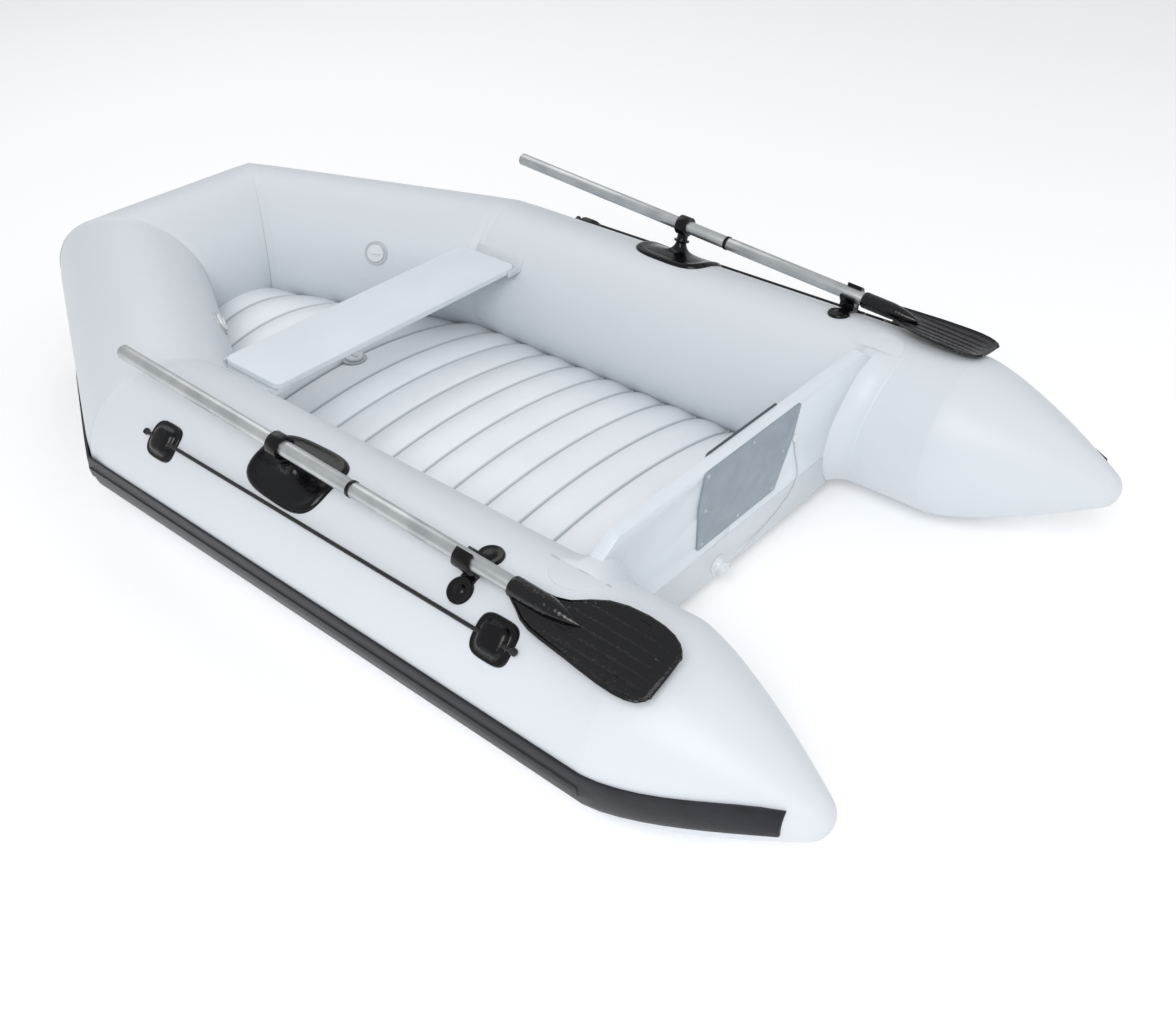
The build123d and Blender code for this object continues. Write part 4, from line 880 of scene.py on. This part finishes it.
def cord_curve(name, points, diameter, finish_name):
    """A round cord on one smooth NURBS line through its route."""
    curve = bpy.data.curves.new(name, "CURVE")
    curve.dimensions = "3D"
    spline = curve.splines.new("NURBS")
    spline.points.add(len(points) - 1)
    for spot, point in zip(spline.points, points):
        spot.co = (*point, 1.0)
    spline.order_u = 3
    spline.use_endpoint_u = True
    curve.resolution_u = 10
    curve.bevel_depth = diameter / 2
    curve.bevel_resolution = 6
    curve.use_fill_caps = True
    curve.materials.append(finish(finish_name))
    obj = bpy.data.objects.new(name, curve)
    bpy.context.scene.collection.objects.link(obj)
    return obj


def run_length(points):
    """Length of a route's straight runs."""
    return sum((b - a).length for a, b in zip(points, points[1:]))


class DINGHY_OT_cords(bpy.types.Operator):
    """Build the grab lines with their pads and knots, and the drain plug's lanyard"""
    bl_idname = "dinghy.cords"
    bl_label = "Cords"

    def execute(self, context):
        sizes = context.scene.dinghy_fittings
        side = hull_axes()[0]
        profile = [(0.0, 0.0162), (0.3, 0.016), (0.5, 0.0148), (0.6, 0.0125), (0.66, 0.009), (0.7, 0.0062),
                   (0.76, 0.0048), (0.88, 0.0044), (0.94, 0.0046), (0.985, 0.0028), (1.0, -0.001)]
        for name in SIDES:
            flip = Vector((1, 1 if name == "port" else -1, 1))
            route = [side.on_skin(x, radians(a), 0, h) * flip for x, a, h in GRAB_LINE]
            rope = cord_curve(f"grab_line_{name}", route, sizes.rope_diameter, "rope")
            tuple(route[0])
            run_length(route)
            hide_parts(f"grab_rope_{name}")
            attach(rope, "hull")
        shape = squircle_outline(sizes.pad_length, sizes.pad_width, 3.6)
        pads = joined(*[skin_patch(side, x, radians(LINE_TURN), shape, profile) for x in PAD_PLACES])
        pair("grab_line_pads", pads, "black", nodes=["rope_pads_{side}"])
        knots = joined(*[knot(side.on_skin(x, radians(LINE_TURN), 0, LINE_HEIGHT)) for x in KNOT_PLACES])
        pair("grab_line_knots", knots, "rope")
        lanyard_route = [transom_point(*spot) for spot in LANYARD]
        lanyard = cord_curve("lanyard", lanyard_route, sizes.lanyard_diameter, "cord")
        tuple(lanyard_route[0])
        run_length(lanyard_route) * 0.985
        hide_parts("drain_lanyard")
        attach(lanyard, "hull")
        soft_node("lanyard_anchor", "white", 0.001)
        return {"FINISHED"}


def knot(centre):
    """A stopper knot: a small lumpy ball round the line."""
    radius, lump, strands, twist = 0.0078, 0.06, 3, 420
    bm = bmesh.new()
    bmesh.ops.create_icosphere(bm, subdivisions=3, radius=radius)
    for vert in bm.verts:
        turn = atan2(vert.co.z, vert.co.y)
        vert.co *= 0.94 + lump * sin(strands * turn + twist * vert.co.x)
    bmesh.ops.translate(bm, vec=centre, verts=bm.verts)
    return bm


def transom_point(across, up, out):
    """A point by the transom's aft face: to starboard, up from its top edge, and out from the face."""
    low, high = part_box("transom_board")
    top = Vector((low.x, 0, high.z - BOARD_THICKNESS * sin(RAKE)))
    on_face = top + Vector((-up * sin(RAKE), -across, up * cos(RAKE)))
    return on_face + Vector((-cos(RAKE), 0, -sin(RAKE))) * out


class DINGHY_OT_seat(bpy.types.Operator):
    """Finish the seat board and its brackets"""
    bl_idname = "dinghy.seat"
    bl_label = "Seat"

    def execute(self, context):
        soft_node("seat_board", "plywood", 0.001)
        soft_node("seat_cradles", "bracket", 0.001)
        return {"FINISHED"}


class DINGHY_OT_valves(bpy.types.Operator):
    """Finish the air valves and the drain"""
    bl_idname = "dinghy.valves"
    bl_label = "Valves and drain"

    def execute(self, context):
        for name in [f"bow_valve_{{}}_{side}" for side in SIDES] + ["floor_valve_{}"]:
            soft_node(name.format("body"), "valve", 0.001)
            soft_node(name.format("cap"), "white", 0.0012)
            soft_node(name.format("button"), "black", 0.0005)
        soft_node("drain_body", "white", 0.0012)
        soft_node("drain_plug", "white", 0.0015)
        return {"FINISHED"}


# Half widths of the blade at stations down the shaft: distance aft of the rowlock, lower side, upper side.
BLADE_STATIONS = [(0.622, 0.019, 0.019), (0.640, 0.030, 0.020), (0.665, 0.045, 0.021),
                  (0.690, 0.053, 0.024), (0.717, 0.057, 0.034), (0.745, 0.060, 0.052),
                  (0.775, 0.063, 0.066), (0.810, 0.067, 0.074), (0.852, 0.071, 0.077),
                  (0.885, 0.072, 0.075), (0.908, 0.0695, 0.070), (0.925, 0.064, 0.062),
                  (0.935, 0.056, 0.053), (0.940, 0.046, 0.044)]


class DINGHY_OT_oars(bpy.types.Operator):
    """Build the ribbed blades and finish the shafts and collars"""
    bl_idname = "dinghy.oars"
    bl_label = "Oars"

    def execute(self, context):
        tilt, lean = radians(3.9), radians(FITTING_TURN)
        lock_x, shaft_height = -0.11, 0.075
        dish_depth, rim_height, sink = 0.0075, 0.0035, 0.006
        rib_height, rib_pitch = 0.0024, 0.021
        spine_height, spine_width, spine_length = 0.017, 0.017, 0.15
        outward = Vector((0, cos(lean), sin(lean)))
        tangent = Vector((0, sin(lean), -cos(lean)))
        along = Vector((1, 0, 0)) * cos(tilt) + outward * sin(tilt)
        face = along.cross(tangent)
        centre = Vector((lock_x, TUBE_Y, TUBE_Z)) + outward * (TUBE_RADIUS + shaft_height)
        first, last = BLADE_STATIONS[0][0], BLADE_STATIONS[-1][0]

        def widths(s):
            for a, b in zip(BLADE_STATIONS, BLADE_STATIONS[1:]):
                if s <= b[0]:
                    mix = (s - a[0]) / (b[0] - a[0])
                    return a[1] + (b[1] - a[1]) * mix, a[2] + (b[2] - a[2]) * mix
            return BLADE_STATIONS[-1][1:]

        def blade(u, v):
            s = first + (last - first) * u
            lower, upper = widths(s)
            across = 2 * v - 1
            wide = lower if across > 0 else upper
            w = across * wide
            spread = min(1.0, (s - first) / 0.16)
            dish = dish_depth * (w / 0.07) ** 2 * spread
            rim = rim_height * exp(-((abs(across) - 0.93) / 0.05) ** 2)
            rim += rim_height * exp(-((last - s) / 0.006) ** 2)
            fade = max(0.0, min(1.0, (s - 0.72) / 0.06)) * max(0.0, min(1.0, (last - 0.015 - s) / 0.03))
            ribs = rib_height * max(0.0, cos(w * tau / rib_pitch)) ** 3 * fade
            ribs *= 1 if abs(across) < 0.82 else 0
            spine = spine_height * exp(-(w / spine_width) ** 2)
            spine *= max(0.0, 1 - (s - first) / spine_length) ** 1.4
            return centre - along * s + tangent * w + face * (dish + rim + ribs + spine - sink)

        sizes = context.scene.dinghy_fittings
        spoon = sheet_of(120, 72, blade, 0.000001)
        socket = sheet_of(40, 48, lambda u, v: self.socket(u, v, centre, along, tangent, face))
        for side in SIDES:
            shapes = [spoon.copy(), socket.copy()]
            if side == "starboard":
                turn = Matrix.Rotation(sizes.far_twist, 3, along)
                for bm in shapes:
                    bmesh.ops.rotate(bm, cent=centre, matrix=turn, verts=bm.verts)
                    bmesh.ops.translate(bm, vec=along * sizes.far_slide, verts=bm.verts)
                shapes = [mirrored(bm) for bm in shapes]
            body = f"oar_blade_half_{side}"
            made = piece(f"blade_{side}", shapes[0], "blade", body, [f"oar_blade_{side}"], 50)
            wall = made.modifiers.new("wall", "SOLIDIFY")
            wall.thickness = 0.004
            wall.offset = -1.0
            piece(f"blade_socket_{side}", shapes[1], "blade", body)
        for side in SIDES:
            soft_node(f"oar_handle_{side}", "aluminium", 0.0004, 30)
            soft_node(f"oar_blade_tube_{side}", "aluminium", 0.0004, 30)
            soft_node(f"oar_collar_{side}", "black", 0.001)
        return {"FINISHED"}

    @staticmethod
    def socket(u, v, centre, along, tangent, face):
        """Socket that grips the shaft and thins out into the blade."""
        start, length, mouth = 0.613, 0.15, 0.06
        bore, wall, outside, thinnest = 0.0161, 0.0035, 0.0198, 0.0006
        taper_start, taper_length = 0.68, 0.083
        turn = tau * v
        if u < mouth:
            radius, s = bore + wall * u / mouth, start
        else:
            s = start + length * (u - mouth) / (1 - mouth)
            past = max(0.0, s - taper_start) / taper_length
            radius = outside * (1 - past ** 1.8) + thinnest
        return centre - along * s + tangent * (radius * cos(turn)) + face * (radius * 0.95 * sin(turn))


class DINGHY_OT_stage(bpy.types.Operator):
    """Set the camera, the lights and the plain pale floor"""
    bl_idname = "dinghy.stage"
    bl_label = "Stage"

    def execute(self, context):
        scene = context.scene
        self.camera(scene)
        self.light("key", (-2.6, 3.6, 4.2), 3.0, 165)
        self.light("fill", (-3.6, -2.8, 3.4), 3.6, 26)
        self.light("rim", (3.4, -1.6, 3.8), 3.0, 30)
        world = bpy.data.worlds.new("studio")
        scene.world = world
        world.use_nodes = True
        world.node_tree.nodes["Background"].inputs["Color"].default_value = linear("#F4F6F9")
        world.node_tree.nodes["Background"].inputs["Strength"].default_value = 0.62
        bm = bmesh.new()
        bmesh.ops.create_grid(bm, x_segments=1, y_segments=1, size=20)
        mesh = bpy.data.meshes.new("floor_sheet")
        bm.to_mesh(mesh)
        bm.free()
        floor = bpy.data.objects.new("studio_floor", mesh)
        scene.collection.objects.link(floor)
        material, _, _, _ = finish_base("studio_paper", "#FDFDFD", 0.85, emission_color=linear("#FFFFFF"),
                                        emission_strength=0.13)
        mesh.materials.append(material)
        scene.view_settings.view_transform = "Standard"
        scene.view_settings.look = "None"
        return {"FINISHED"}

    @staticmethod
    def camera(scene):
        """Camera above the port quarter, looking forward and down across the boat."""
        yaw, pitch, roll = radians(-48.433), radians(36.513), radians(-1.496)
        forward = Vector((cos(yaw) * cos(pitch), sin(yaw) * cos(pitch), -sin(pitch)))
        right = Vector((sin(yaw), -cos(yaw), 0))
        above = right.cross(forward)
        turned_right = right * cos(roll) + above * sin(roll)
        turned_above = above * cos(roll) - right * sin(roll)
        data = bpy.data.cameras.new("camera")
        data.sensor_width = 36
        data.lens = 38.11
        camera = bpy.data.objects.new("camera", data)
        basis = Matrix((turned_right, turned_above, -forward)).transposed().to_4x4()
        camera.matrix_world = Matrix.Translation((-1.9057, 1.7764, 1.7771)) @ basis
        scene.collection.objects.link(camera)
        scene.camera = camera

    @staticmethod
    def light(name, spot, size, power):
        """A large soft lamp that faces the boat's middle."""
        data = bpy.data.lights.new(name, "AREA")
        data.size = size
        data.energy = power
        lamp = bpy.data.objects.new(name, data)
        aim = Vector((0, 0, 0.2)) - Vector(spot)
        lamp.matrix_world = Matrix.Translation(spot) @ aim.to_track_quat("-Z", "Y").to_matrix().to_4x4()
        bpy.context.scene.collection.objects.link(lamp)


STEPS = (DINGHY_OT_stage, DINGHY_OT_cords, DINGHY_OT_tubes, DINGHY_OT_cones, DINGHY_OT_strakes,
         DINGHY_OT_floor, DINGHY_OT_transom, DINGHY_OT_seat, DINGHY_OT_valves, DINGHY_OT_rowlocks,
         DINGHY_OT_keepers, DINGHY_OT_oars)


class DINGHY_PT_panel(bpy.types.Panel):
    """Lists the dinghy's sizes and steps in the sidebar"""
    bl_idname = "DINGHY_PT_panel"
    bl_label = "Inflatable dinghy"
    bl_space_type = "VIEW_3D"
    bl_region_type = "UI"
    bl_category = "Dinghy"

    def draw(self, context):
        for group in ("dinghy_hull", "dinghy_floor", "dinghy_fittings", "dinghy_colours"):
            values = getattr(context.scene, group)
            for key in values.bl_rna.properties.keys():
                if key not in ("rna_type", "name"):
                    self.layout.prop(values, key)
        for step in STEPS:
            self.layout.operator(step.bl_idname)


GROUPS = {"dinghy_hull": HullSizes, "dinghy_floor": FloorSizes, "dinghy_fittings": FittingSizes,
          "dinghy_colours": FinishColours}


def register():
    """Registers the sizes, steps and panel."""
    for name, group in GROUPS.items():
        bpy.utils.register_class(group)
        setattr(bpy.types.Scene, name, bpy.props.PointerProperty(type=group))
    for step in STEPS + (DINGHY_PT_panel,):
        bpy.utils.register_class(step)


def unregister():
    """Removes them again."""
    for step in reversed(STEPS + (DINGHY_PT_panel,)):
        bpy.utils.unregister_class(step)
    for name, group in GROUPS.items():
        delattr(bpy.types.Scene, name)
        bpy.utils.unregister_class(group)


def main():
    """Registers the add-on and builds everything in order."""
    register()
    for step in STEPS:
        area, _, name = step.bl_idname.partition(".")
        getattr(getattr(bpy.ops, area), name)()


if __name__ == "__main__":
    main()
